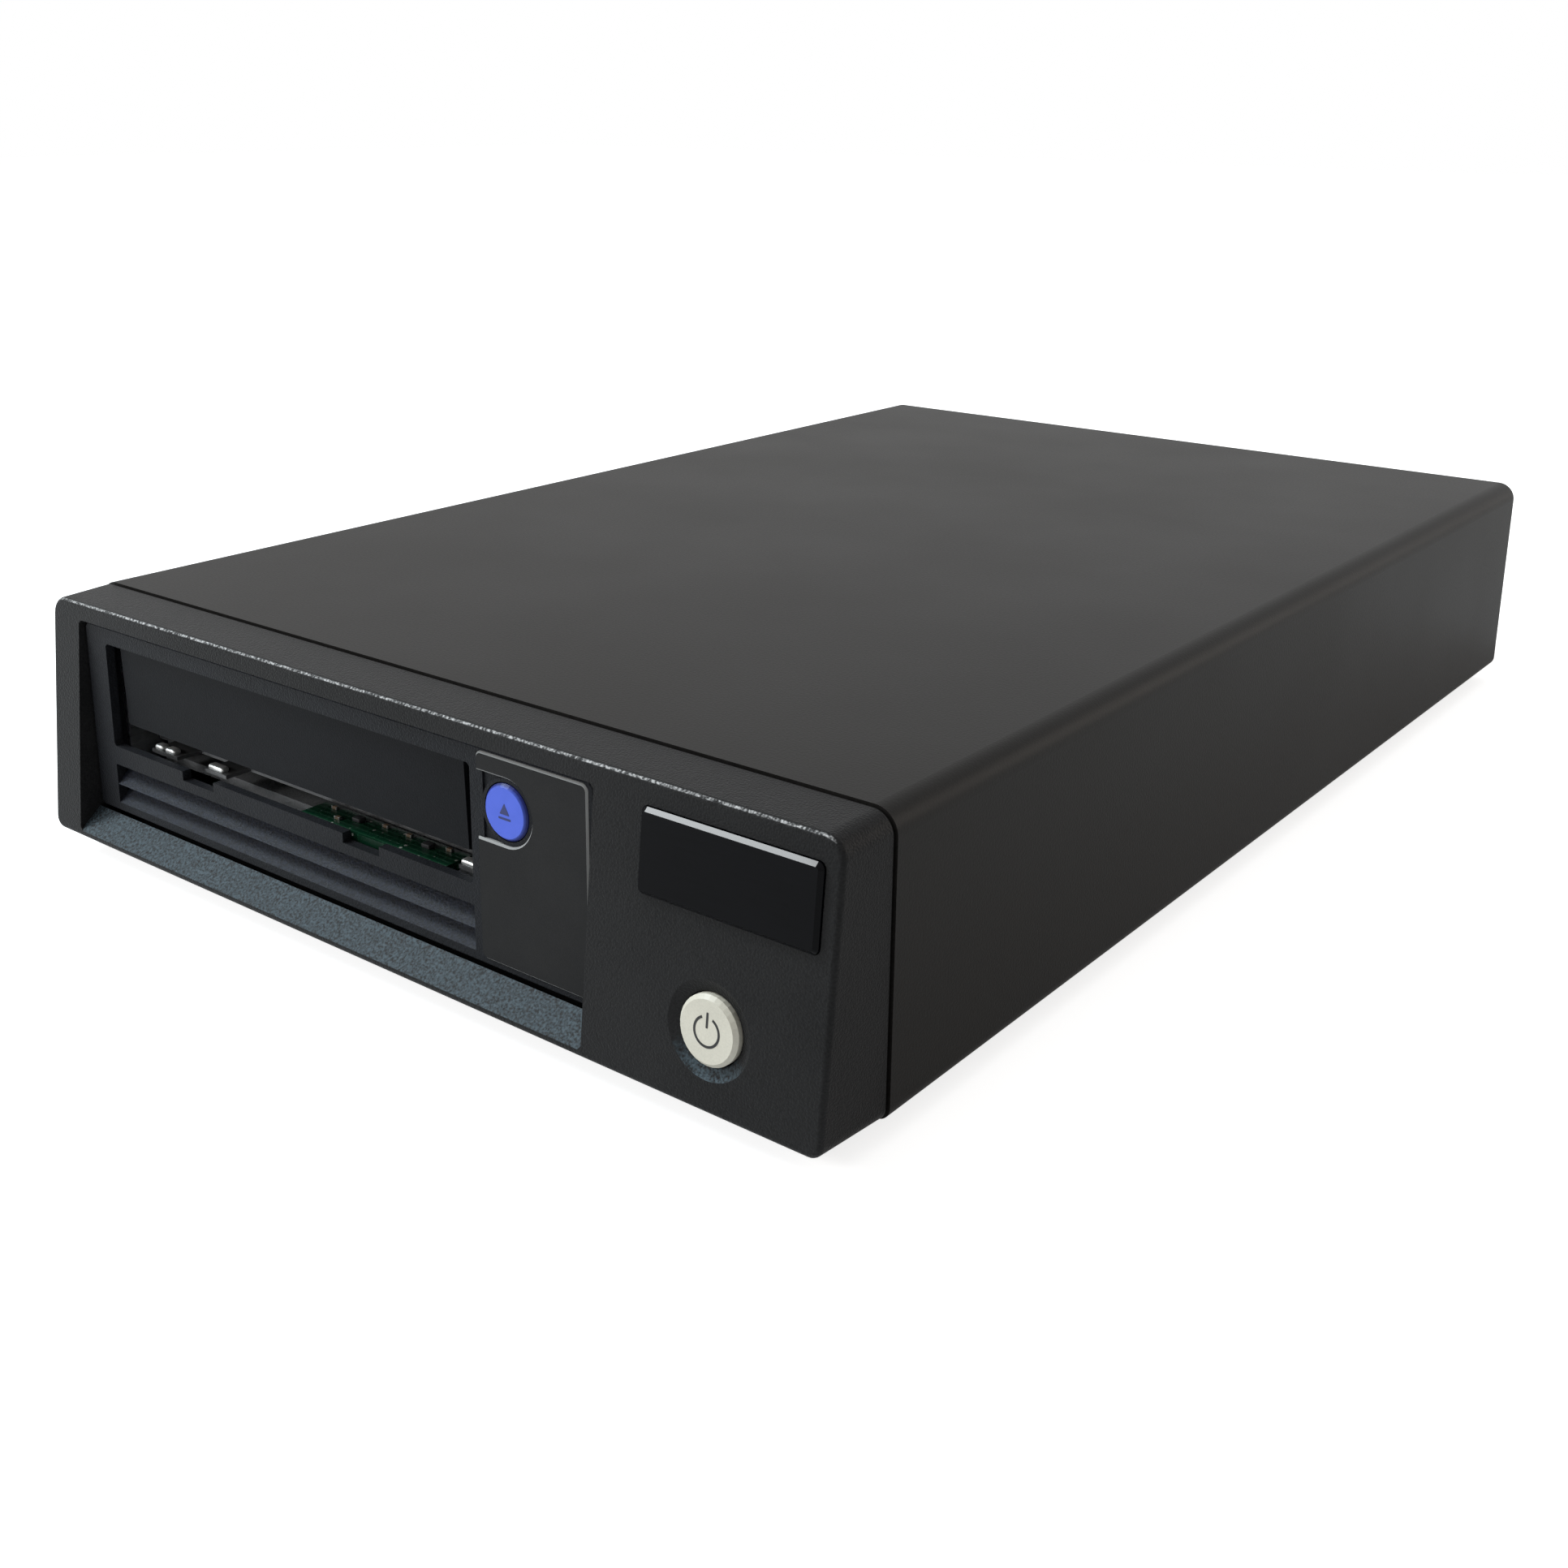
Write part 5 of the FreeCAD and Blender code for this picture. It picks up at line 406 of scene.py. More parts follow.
def cross_head(name, head, height, shank, length):
    """One screw, its seat at the origin, head up, sizes in metres."""
    rim, point = height * 0.55, shank * 0.5
    arm_reach, arm_width, recess = head * 0.62, head * 0.16, height * 0.9
    screw = blank(bpy.ops.mesh.primitive_cylinder_add, vertices=24, radius=head, depth=height,
                  location=(0, 0, height / 2))
    bpy.ops.object.mode_set(mode="EDIT")
    pick_faces(lambda middle, way: way.z > 0.9)
    bpy.ops.mesh.bevel(offset=rim, segments=3, profile=0.6, affect="EDGES")
    pick_faces(lambda middle, way: way.z < -0.9)
    bpy.ops.mesh.inset(thickness=head - shank)
    bpy.ops.mesh.extrude_region_move(TRANSFORM_OT_translate={"value": (0, 0, -length + point)})
    bpy.ops.mesh.extrude_region_move(TRANSFORM_OT_translate={"value": (0, 0, -point)})
    bpy.ops.transform.resize(value=(0.6, 0.6, 1))
    bpy.ops.object.mode_set(mode="OBJECT")
    arms = []
    for wide, deep in ((arm_reach, arm_width), (arm_width, arm_reach)):
        arm = blank(bpy.ops.mesh.primitive_cube_add, size=1, location=(0, 0, height * 0.75),
                    scale=(wide * 2, deep * 2, recess))
        bpy.ops.object.mode_set(mode="EDIT")
        pick_faces(lambda middle, way: way.z < -0.9)
        bpy.ops.transform.resize(value=(0.7, 0.7, 1))
        bpy.ops.object.mode_set(mode="OBJECT")
        arms.append(arm)
    for arm in arms:
        alone(screw)
        cut = screw.modifiers.new("recess", "BOOLEAN")
        cut.operation, cut.object, cut.solver = "DIFFERENCE", arm, "EXACT"
        bpy.ops.object.modifier_apply(modifier="recess")
        bpy.data.objects.remove(arm)
    screw.name = name
    return screw


plated_wire = grained(
    "plated_wire", (0.3, 0.3, 0.31), (0.5, 0.5, 0.51), patch=0.002, grain=0.0002, depth=0.000004,
    smooth=0.25, rough=0.4, metallic=1.0)
black_wire = grained(
    "black_wire", (0.03, 0.03, 0.032), (0.07, 0.07, 0.072), patch=0.002, grain=0.0002,
    depth=0.000004, smooth=0.3, rough=0.45, metallic=1.0)
drive_middle = -0.02
for node, along, finish in (("case_screws", 2, black_wire), ("fan_screws", 1, black_wire),
                            ("board_screws", 2, plated_wire), ("lid_screws", 2, plated_wire),
                            ("drive_screws", 0, plated_wire)):
    holes, pattern = {}, None
    for points in screw_islands(node):
        middle = extent(points)[2]
        hole = tuple(round(middle[i], 4) for i in range(3) if i != along)
        right_side = along == 0 and middle.x > drive_middle
        holes.setdefault((hole, right_side), []).extend(points)
    screws = []
    for points in holes.values():
        low, high, middle = extent(points)
        widest = max(from_axis(point, middle, along) for point in points)
        head = [point[along] for point in points if from_axis(point, middle, along) > widest * 0.9]
        outward = 1 if (min(head) + max(head)) / 2 > middle[along] else -1
        seat, tip = (min(head), low[along]) if outward > 0 else (max(head), high[along])
        narrow = max(from_axis(point, middle, along) for point in points
                     if abs(point[along] - tip) < 1e-5)
        if pattern is None:
            pattern = cross_head(node + "_pattern", widest, max(head) - min(head), narrow,
                                 abs(seat - tip))
        place = middle.copy()
        place[along] = seat
        way = Vector([outward if i == along else 0 for i in range(3)])
        turn = way.to_track_quat("Z", "Y").to_matrix().to_4x4()
        screws.append(copied(pattern, Matrix.Translation(place) @ turn))
    bpy.data.objects.remove(pattern)
    fit(joined(node.replace("screws", "cross_screws"), screws), finish, "case", "screw_steel", node)


# Moulded front: black plastic from a spark-eroded tool, so every face has
# the same fine sparkling grain. It clips over the cover's front edge.
def facing(finish):
    """The X, Y and Z parts of the way that a face looks."""
    nodes, links = finish.node_tree.nodes, finish.node_tree.links
    ways = nodes.new("ShaderNodeSeparateXYZ")
    links.new(nodes.new("ShaderNodeNewGeometry").outputs["Normal"], ways.inputs[0])
    return ways.outputs


def on_ledges(finish, inner, outer):
    """1 where a face looks forward and up at once, as a ledge or a rounded edge does."""
    ways = facing(finish)
    forward = combine(finish, "MULTIPLY", ways["Y"], -1.0)
    return ramp(finish, combine(finish, "MULTIPLY", forward, ways["Z"]), inner, outer)


def paint_ledge_sheen(finish, ledge_sheen, edge, tip=0.0005, top_edge=0.05):
    """Lightens ledges with a painted reflection, and narrowly the top edge with a painted
    highlight, both speckled by the grain's tips.
    """
    graph = finish.node_tree
    shader = graph.nodes["Principled BSDF"]
    plain = shader.inputs["Base Color"].links[0].from_socket
    place = next(node for node in graph.nodes if node.type == "TEX_COORD").outputs["Object"]
    tips = cloud(finish, place, tip, 1.0)
    height = graph.nodes.new("ShaderNodeSeparateXYZ")
    graph.links.new(place, height.inputs[0])
    high = combine(finish, "GREATER_THAN", height.outputs["Z"], top_edge)
    low = combine(finish, "SUBTRACT", 1.0, high)
    # Painted reflection on ledges below the top edge, and a narrow painted highlight on the top
    # edge, where faces look forward and up.
    wide = combine(finish, "MULTIPLY", combine(finish, "MULTIPLY", on_ledges(finish, 0.22, 0.4),
                                               low), tips)
    narrow = combine(finish, "MULTIPLY", combine(finish, "MULTIPLY", on_ledges(finish, 0.4, 0.48),
                                                 high), combine(finish, "POWER", tips, 1.6))
    coloured(finish, shader, between(finish, narrow, between(finish, wide, plain, ledge_sheen), edge))


spark_grain = grained(
    "spark_grain", (0.0072, 0.0072, 0.0074), (0.0165, 0.0163, 0.0166), patch=0.03, grain=0.0004,
    depth=0.00006, smooth=0.34, rough=0.46, specular=0.072)
# Painted reflection: a cool grey-blue on the ledges, and a painted highlight in light grey along
# the top front edge.
paint_ledge_sheen(spark_grain, (0.052, 0.072, 0.085), (0.42, 0.42, 0.42))
dress(spark_grain, "front_bezel")

# Badge: a blank plate with bevelled edges, moulded in piano black and bonded
# in its pocket. Its word is left off, so only fine wiping marks show.
piano_black = grained(
    "piano_black", (0.0012, 0.0012, 0.0016), (0.002, 0.002, 0.0028), patch=0.02, grain=0.0006,
    depth=0.0000006, smooth=0.03, rough=0.08, specular=0.065, stretch=(12, 1, 1))
dress(piano_black, "badge_plate")


# Power button: warm grey satin plastic. The power sign is printed in thin
# black ink on its face, an open ring with a bar in the gap.
def cap_face(node):
    """Middle of a button's flat face and the matrix that lays a sign on it."""
    mesh = packed[node].data
    front = max((face for face in mesh.polygons if face.normal.y < -0.98),
                key=lambda face: face.area)
    way = front.normal.normalized()
    level = max(vert.co.dot(way) for vert in mesh.vertices)
    rim = [vert.co for vert in mesh.vertices if vert.co.dot(way) > level - 1e-5]
    middle = Vector([(min(p[i] for p in rim) + max(p[i] for p in rim)) / 2 for i in range(3)])
    side = Vector((1, 0, 0))
    return Matrix.Translation(middle) @ Matrix((side, way.cross(side), way)).transposed().to_4x4()


def printed(pieces, name, depth=0.03):
    """Flat pieces made a thin layer of ink, in millimetres."""
    sign = joined(name, pieces)
    layer = sign.modifiers.new("layer", "SOLIDIFY")
    layer.thickness, layer.offset = depth / 1000, 1
    bpy.ops.object.modifier_apply(modifier="layer")
    return sign


def flat_ring(outer, inner, sides=72):
    """A flat ring at the origin, in millimetres."""
    ring = blank(bpy.ops.mesh.primitive_circle_add, vertices=sides, radius=outer / 1000,
                 fill_type="NOTHING")
    bpy.ops.object.mode_set(mode="EDIT")
    bpy.ops.mesh.select_all(action="SELECT")
    bpy.ops.mesh.extrude_edges_move()
    bpy.ops.transform.resize(value=(inner / outer, inner / outer, 1))
    bpy.ops.mesh.select_all(action="SELECT")
    bpy.ops.mesh.normals_make_consistent(inside=False)
    bpy.ops.object.mode_set(mode="OBJECT")
    if ring.data.polygons[0].normal.z < 0:
        ring.data.flip_normals()
    return ring


def flat_bar(wide, high, x, y):
    """A flat bar with its corners cut, in millimetres."""
    bpy.ops.object.select_all(action="DESELECT")
    bpy.ops.mesh.primitive_plane_add(size=1, location=(x / 1000, y / 1000, 0))
    bar = bpy.context.object
    bar.scale = (wide / 1000, high / 1000, 1)
    bpy.ops.object.transform_apply(location=True, rotation=True, scale=True)
    bpy.ops.object.mode_set(mode="EDIT")
    bpy.ops.mesh.select_all(action="SELECT")
    bpy.ops.mesh.bevel(offset=min(wide, high) / 4000, segments=2, affect="VERTICES")
    bpy.ops.object.mode_set(mode="OBJECT")
    return bar


warm_grey = grained(
    "warm_grey", (0.47, 0.45, 0.38), (0.555, 0.53, 0.45), patch=0.006, grain=0.0003, depth=0.00001,
    smooth=0.4, rough=0.5, specular=0.4)
dress(warm_grey, "power_button")
black_ink = grained(
    "black_ink", (0.006, 0.006, 0.006), (0.014, 0.014, 0.014), patch=0.002, grain=0.0002,
    depth=0.000004, smooth=0.4, rough=0.5, specular=0.4)
ring_outer, ring_inner, half_gap, bar_wide, bar_high, bar_rise = 2.75, 2.3, 1.1, 0.45, 2.7, 1.95
power_ring = flat_ring(ring_outer, ring_inner)
alone(power_ring)
bpy.ops.object.mode_set(mode="EDIT")
pick_faces(lambda middle, way: middle.y > 0 and abs(middle.x) < half_gap / 1000)
bpy.ops.mesh.delete(type="FACE")
bpy.ops.object.mode_set(mode="OBJECT")
power_sign = printed([power_ring, flat_bar(bar_wide, bar_high, 0, bar_rise)], "power_sign")
power_sign.data.transform(cap_face("power_button"))
fit(power_sign, black_ink, "power_button", "switch_plastic")

# Power switch: a small push switch in a black moulded case, soldered to its
# own board, which clips behind the button.
switch_black = grained(
    "switch_black", (0.01, 0.01, 0.01), (0.025, 0.025, 0.025), patch=0.004, grain=0.0002,
    depth=0.00001, smooth=0.35, rough=0.5, specular=0.4)
dress(switch_black, "power_switch")

# Drive's moulded face with its two vent fins: the same spark grain in a
# cooler black, a separate moulding that clips to the drive's steel body.
cool_spark_grain = grained(
    "cool_spark_grain", (0.006, 0.0063, 0.0072), (0.0135, 0.0145, 0.017), patch=0.02, grain=0.0004,
    depth=0.00006, smooth=0.36, rough=0.48, specular=0.07)
# Painted reflection: faces of the fins that look forward and up are lightened to a cool grey.
paint_ledge_sheen(cool_spark_grain, (0.018, 0.021, 0.03), (0.018, 0.021, 0.03))
dress(cool_spark_grain, "drive_bezel")

# Side cover: a thin satin moulding with bevelled edges, notched round the
# eject button and stuck in its shallow recess. Its bevels get a painted highlight.
plate_satin = grained(
    "plate_satin", (0.0085, 0.0085, 0.0087), (0.0145, 0.0143, 0.0145), patch=0.012, grain=0.0002,
    depth=0.000006, smooth=0.36, rough=0.44, specular=0.08)
plate_shader = plate_satin.node_tree.nodes["Principled BSDF"]
plate_tone = plate_shader.inputs["Base Color"].links[0].from_socket
# Painted highlight: faces that turn away from straight ahead, the bevels, are lightened to grey.
plate_edge_highlight = ramp(plate_satin, facing(plate_satin)["Y"], -0.97, -0.85)
coloured(plate_satin, plate_shader, between(plate_satin, plate_edge_highlight, plate_tone,
                                            (0.24, 0.24, 0.235)))
dress(plate_satin, "indicator_cover")

# Eject button: clear blue plastic, its rounded rim darkened by painted shade,
# with the eject sign printed on it, a triangle over a bar.
eject_blue, eject_shader, eject_place = new_finish("eject_blue", specular=0.15)
eject_middle = cap_face("eject_button").translation
eject_spot = laid(eject_blue, eject_place, centre=eject_middle, stretch=(1, 1000, 1))
eject_away = eject_blue.node_tree.nodes.new("ShaderNodeVectorMath")
eject_away.operation = "LENGTH"
eject_blue.node_tree.links.new(eject_spot, eject_away.inputs[0])
# Painted shade: a dark navy ring at the rim of the cap, where it turns down into the gap.
eject_rim_shade = ramp(eject_blue, eject_away.outputs["Value"], 0.0046, 0.0051)
eject_tone = between(eject_blue, cloud(eject_blue, eject_place, 0.004), (0.066, 0.112, 0.53),
                     (0.076, 0.124, 0.58))
coloured(eject_blue, eject_shader, between(eject_blue, eject_rim_shade, eject_tone,
                                           (0.008, 0.013, 0.1)))
gloss_range(eject_blue, eject_shader, cloud(eject_blue, eject_place, 0.0006), 0.3, 0.42)
dress(eject_blue, "eject_button")
navy_ink = grained(
    "navy_ink", (0.006, 0.012, 0.085), (0.009, 0.018, 0.11), patch=0.002, grain=0.0002,
    depth=0.000004, smooth=0.4, rough=0.5, specular=0.4)
arrow_reach, arrow_rise, arrow_round = 0.0014, 0.0004, 0.00012
eject_arrow = blank(bpy.ops.mesh.primitive_circle_add, vertices=3, radius=arrow_reach,
                    fill_type="NGON", location=(0, arrow_rise, 0))
bpy.ops.object.mode_set(mode="EDIT")
bpy.ops.mesh.select_all(action="SELECT")
bpy.ops.mesh.bevel(offset=arrow_round, segments=2, affect="VERTICES")
bpy.ops.object.mode_set(mode="OBJECT")
eject_sign = printed([eject_arrow, flat_bar(3.0, 0.42, 0, -1.05)], "eject_sign")
eject_sign.data.transform(cap_face("eject_button"))
fit(eject_sign, navy_ink, "eject_button", "eject_blue")

# Cartridge door: a plain moulded flap that swings on a steel pin, with a
# finer surface than the front's. Its raised words are left off. The leader
# grabber is moulded in the same plastic.
door_satin = grained(
    "door_satin", (0.0048, 0.0052, 0.006), (0.0095, 0.01, 0.0115), patch=0.015, grain=0.0003,
    depth=0.00002, smooth=0.42, rough=0.52, specular=0.045)
dress(door_satin, "cartridge_door", "leader_grabber")

# Door pin, leader rail and lifting screw: steel rod, ground with fine rings
# round it, and for the head's screw rolled to a fine thread.
ground_steel = grained(
    "ground_steel", (0.42, 0.42, 0.43), (0.6, 0.6, 0.61), patch=0.004, grain=0.0002, depth=0.000003,
    smooth=0.16, rough=0.28, metallic=1.0, stretch=(1, 12, 12))
dress(ground_steel, "door_pin", "threader_rail")
thread_size, thread_depth = 0.0024, 0.00015
screw_thread, thread_shader, thread_place = new_finish("screw_thread", metallic=1.0)
thread_wave = screw_thread.node_tree.nodes.new("ShaderNodeTexWave")
thread_wave.wave_type, thread_wave.bands_direction = "BANDS", "Z"
thread_wave.inputs["Scale"].default_value = 1 / thread_size
screw_thread.node_tree.links.new(thread_place, thread_wave.inputs["Vector"])
coloured(screw_thread, thread_shader, between(screw_thread, thread_wave.outputs["Fac"],
                                              (0.25, 0.25, 0.26), (0.6, 0.6, 0.61)))
gloss_range(screw_thread, thread_shader, thread_wave.outputs["Fac"], 0.35, 0.2)
raised(screw_thread, thread_shader, thread_wave.outputs["Fac"], thread_depth)
dress(screw_thread, "head_screw")

# Door spring: spring wire wound in close turns on the end of the pin, with
# one straight leg that presses on the front.
wire, turns, pitch, coil_radius, sleeve_radius = 0.0002, 4, 0.00044, 0.00103, 0.00125
spring_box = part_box("door_spring")
spring_middle = Vector((spring_box[0].x, spring_box[0].y + sleeve_radius,
                        spring_box[1].z - sleeve_radius))
coil = blank(bpy.ops.mesh.primitive_circle_add, vertices=8, radius=wire,
             location=(0, -coil_radius, 0), rotation=(0, math.radians(90), 0))
coil.name = "door_spring_coil"
winding = coil.modifiers.new("winding", "SCREW")
winding.axis, winding.angle, winding.iterations = "X", math.radians(360), turns
winding.screw_offset, winding.steps, winding.render_steps = pitch, 24, 24
bpy.ops.object.modifier_apply(modifier="winding")
bpy.ops.object.mode_set(mode="EDIT")
bpy.ops.mesh.select_all(action="SELECT")
bpy.ops.mesh.remove_doubles(threshold=1e-6)
bpy.ops.mesh.select_all(action="DESELECT")
bpy.ops.mesh.select_mode(type="EDGE")
bpy.ops.mesh.select_non_manifold()
bpy.ops.mesh.edge_face_add()
bpy.ops.mesh.select_all(action="SELECT")
bpy.ops.mesh.normals_make_consistent(inside=False)
bpy.ops.object.mode_set(mode="OBJECT")
coil.data.transform(Matrix.Translation(spring_middle + Vector((wire, 0, 0))))
leg_length = spring_middle.z - spring_box[0].z
leg = blank(bpy.ops.mesh.primitive_cylinder_add, vertices=8, radius=wire, depth=leg_length,
            location=(spring_middle.x + wire, spring_middle.y - coil_radius,
                      spring_middle.z - leg_length / 2))
bpy.ops.object.mode_set(mode="EDIT")
pick_faces(lambda middle, way: abs(way.z) > 0.9)
bpy.ops.mesh.bevel(offset=wire * 0.4, segments=2, affect="EDGES")
bpy.ops.object.mode_set(mode="OBJECT")
fit(joined("door_spring_coil", [coil, leg]), ground_steel, "case", "pin_steel", "door_spring")


# Circuit boards: glass fibre under a green solder mask, with thin copper
# tracks showing through it and tinned holes.
def solder_mask(name, deep, track, pitch):
    """Green board finish with tracks at the given pitch in metres."""
    finish, shader, place = new_finish(name, specular=0.3)
    nodes, links = finish.node_tree.nodes, finish.node_tree.links
    tracks = nodes.new("ShaderNodeTexBrick")
    tracks.inputs["Scale"].default_value = 1 / pitch
    tracks.inputs["Mortar Size"].default_value = 0.035
    tracks.inputs["Mortar Smooth"].default_value = 0.2
    tracks.inputs["Brick Width"].default_value = 1.7
    tracks.inputs["Row Height"].default_value = 0.32
    tracks.inputs["Color1"].default_value = (0, 0, 0, 1)
    tracks.inputs["Color2"].default_value = (0.12, 0.12, 0.12, 1)
    tracks.inputs["Mortar"].default_value = (1, 1, 1, 1)
    links.new(place, tracks.inputs["Vector"])
    holes = nodes.new("ShaderNodeTexVoronoi")
    holes.inputs["Scale"].default_value = 1 / (pitch * 0.6)
    holes.inputs["Randomness"].default_value = 0.7
    links.new(place, holes.inputs["Vector"])
    tinned_hole = ramp(finish, holes.outputs["Distance"], 0.15, 0.11)
    mask = between(finish, tracks.outputs["Color"], deep, track)
    coloured(finish, shader, between(finish, tinned_hole, mask, (0.2, 0.2, 0.18)))
    gloss_range(finish, shader, cloud(finish, place, 0.003), 0.22, 0.36)
    raised(finish, shader, combine(finish, "MAXIMUM", tracks.outputs["Color"], tinned_hole),
           0.00003)
    return finish


green_mask = solder_mask("green_mask", (0.0015, 0.015, 0.007), (0.005, 0.036, 0.016), pitch=0.0042)
dress(green_mask, "drive_circuit_board", "supply_board", "port_board", "indicator_board",
      "sensor_board")


# Parts on the boards: moulded flat-pack chips with bent legs, and ceramic
# chip parts with tinned ends, all soldered flat.
def chip_leg(length=1.3, drop=0.7):
    """One bent leg that points to +X from the origin, in millimetres."""
    leg = rounded_block("leg", (0, -0.15, -0.06), (0.35, 0.15, 0.06), 0.02, 1)
    bpy.ops.object.mode_set(mode="EDIT")
    for step in ((0.25, 0, -drop), (length - 0.6, 0, -0.05)):
        pick_faces(lambda middle, way: way.x > 0.8 and middle.x > max(
            vert.co.x for vert in bmesh.from_edit_mesh(bpy.context.edit_object.data).verts) - 2e-5)
        bpy.ops.mesh.extrude_region_move(TRANSFORM_OT_translate={"value": [s / 1000 for s in step]})
    bpy.ops.object.mode_set(mode="OBJECT")
    return leg


def flat_pack(name, x, y, seat, wide, deep, high, legs, sides=(0, 90, 180, 270)):
    """A chip's body and its legs, standing on the seat height, in millimetres."""
    body = rounded_block(name, (x - wide / 2, y - deep / 2, seat + 0.08),
                         (x + wide / 2, y + deep / 2, seat + high), 0.18)
    pattern = chip_leg(drop=high * 0.5)
    bent = []
    for side in sides:
        reach, run = (wide, deep) if side % 180 == 0 else (deep, wide)
        for number in range(legs):
            along = (number - (legs - 1) / 2) * (run - 1.6) / max(legs - 1, 1)
            stand = Vector((x, y, seat + high * 0.56 + 0.1)) / 1000
            bent.append(copied(pattern, Matrix.Translation(stand)
                               @ Matrix.Rotation(math.radians(side), 4, "Z")
                               @ Matrix.Translation(Vector((reach / 2 - 0.1, along, 0)) / 1000)))
    bpy.data.objects.remove(pattern)
    return body, bent


def chip_part(name, x, y, seat, wide=1.6, deep=0.8, high=0.6):
    """A ceramic chip part's body and its two tinned ends, in millimetres."""
    body = rounded_block(name, (x - wide / 2 + 0.2, y - deep / 2 + 0.03, seat),
                         (x + wide / 2 - 0.2, y + deep / 2 - 0.03, seat + high - 0.03), 0.05, 1)
    ends = [rounded_block(name, (x + side * (wide / 2 - 0.17) - 0.17, y - deep / 2, seat),
                          (x + side * (wide / 2 - 0.17) + 0.17, y + deep / 2, seat + high), 0.06, 1)
            for side in (-1, 1)]
    return body, ends


chip_black = grained(
    "chip_black", (0.012, 0.012, 0.013), (0.024, 0.024, 0.025), patch=0.003, grain=0.00015,
    depth=0.000008, smooth=0.5, rough=0.65, specular=0.4)
tinned = grained(
    "tinned", (0.5, 0.5, 0.49), (0.68, 0.68, 0.66), patch=0.001, grain=0.0002, depth=0.000006,
    smooth=0.25, rough=0.4, metallic=1.0)
ceramic = grained(
    "ceramic", (0.08, 0.05, 0.028), (0.13, 0.085, 0.05), patch=0.001, grain=0.0002, depth=0.000005,
    smooth=0.45, rough=0.6)
plain_block, chip_height = 1.6, 1.66
controller, memories = (-61.4, -53.5), ((-20.4, -56.5), (-1.4, -56.5), (17.6, -56.5))
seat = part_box("drive_circuit_board")[1].z * 1000 - plain_block
body, leads = flat_pack("board_chip", *controller, seat, 22.3, 22.3, chip_height, 22)
bodies = [body]
for spot in memories:
    body, bent = flat_pack("board_chip", *spot, seat, 12.3, 18.3, chip_height, 10, (0, 180))
    bodies.append(body)
    leads.extend(bent)
fit(joined("drive_board_chips", bodies), chip_black, "case", "switch_plastic")
fit(joined("drive_board_leads", leads), tinned, "case", "port_shell")

# Sensor board in the slot: a row of small soldered parts and two moulded
# light sensors, seen through the gap under the door.
sensor_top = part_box("sensor_board")[1].z * 1000
sensor_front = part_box("sensor_board")[0].y * 1000
part_spots, eye_spots = ((-24, 5.4), (-19.5, 2.4), (-9, 5.6), (-2, 5.4), (9, 5.6)), (-15.5, 4.5)
bodies, leads = [], []
for x, set_back in part_spots:
    body, ends = chip_part("sensor_part", x, sensor_front + set_back, sensor_top)
    bodies.append(body)
    leads.extend(ends)
fit(joined("sensor_parts", bodies), ceramic, "case", "transformer_yellow")
# The sensor parts' tinned ends get a darker copy of the tinned finish: painted shade for the gap
# under the door.
shaded_tin = grained(
    "shaded_tin", (0.14, 0.14, 0.135), (0.22, 0.22, 0.21), patch=0.001, grain=0.0002, depth=0.000006,
    smooth=0.45, rough=0.6, metallic=1.0)
fit(joined("sensor_leads", leads), shaded_tin, "case", "port_shell")
sensor_eyes = [rounded_block("sensor_eye", (x - 1.1, sensor_front + 3.4, sensor_top),
                             (x + 1.1, sensor_front + 5.2, sensor_top + 0.9), 0.2)
               for x in eye_spots]
fit(joined("sensor_eyes", sensor_eyes), chip_black, "case", "switch_plastic")

# Supply board and port board: two chips and a row or two of small parts on
# each, soldered where the board is clear of its larger parts.
board_thick, port_middles = 1.6, (-8, 28)
supply_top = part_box("supply_board")[0].z * 1000 + board_thick
port_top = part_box("port_board")[0].z * 1000 + board_thick
supply_parts = [(99, y, supply_top) for y in (36, 40, 104, 112, 116)]
front_parts = [(x, 129, port_top) for x in (-20, -14, 2, 8, 20, 38)]
rear_parts = [(x, 144.5, port_top) for x in (-12, -4, 12, 26, 34)]
bodies, leads = [], []
for x, y, size in ((96, 108, 6.5), (84, 38, 6.0)):
    body, bent = flat_pack("supply_chip", x, y, supply_top, size, size, 1.5, 4, (0, 180))
    bodies.append(body)
    leads.extend(bent)
for x in port_middles:
    body, bent = flat_pack("port_chip", x, 136, port_top, 10, 10, 1.5, 10)
    bodies.append(body)
    leads.extend(bent)
fit(joined("case_board_chips", bodies), chip_black, "case", "switch_plastic")
bodies = []
for x, y, seat in supply_parts + front_parts + rear_parts:
    body, ends = chip_part("board_part", x, y, seat)
    bodies.append(body)
    leads.extend(ends)
fit(joined("case_board_parts", bodies), ceramic, "case", "transformer_yellow")
fit(joined("case_board_leads", leads), tinned, "case", "port_shell")

# Cable headers: cream nylon housings, open on top, that take the plugs of
# the inner leads. They are soldered to the port board's front edge.
cream_nylon = grained(
    "cream_nylon", (0.52, 0.49, 0.4), (0.62, 0.59, 0.5), patch=0.004, grain=0.0003, depth=0.00001,
    smooth=0.4, rough=0.55)
half_wide, front, back, high, wall_thick = 10.1, 117, 124.3, 6.1, 0.9
for number, x in enumerate(port_middles):
    header = rounded_block("port_header_%d" % (number + 1), (x - half_wide, front, port_top),
                           (x + half_wide, back, port_top + high), 0.3)
    bpy.ops.object.mode_set(mode="EDIT")
    pick_faces(lambda middle, way: way.z > 0.9)
    bpy.ops.mesh.inset(thickness=wall_thick / 1000)
    bpy.ops.mesh.extrude_region_move(TRANSFORM_OT_translate={"value": (0, 0, -0.00005)})
    bpy.ops.object.mode_set(mode="OBJECT")
    fit(header, cream_nylon, "case", "gear_plastic")

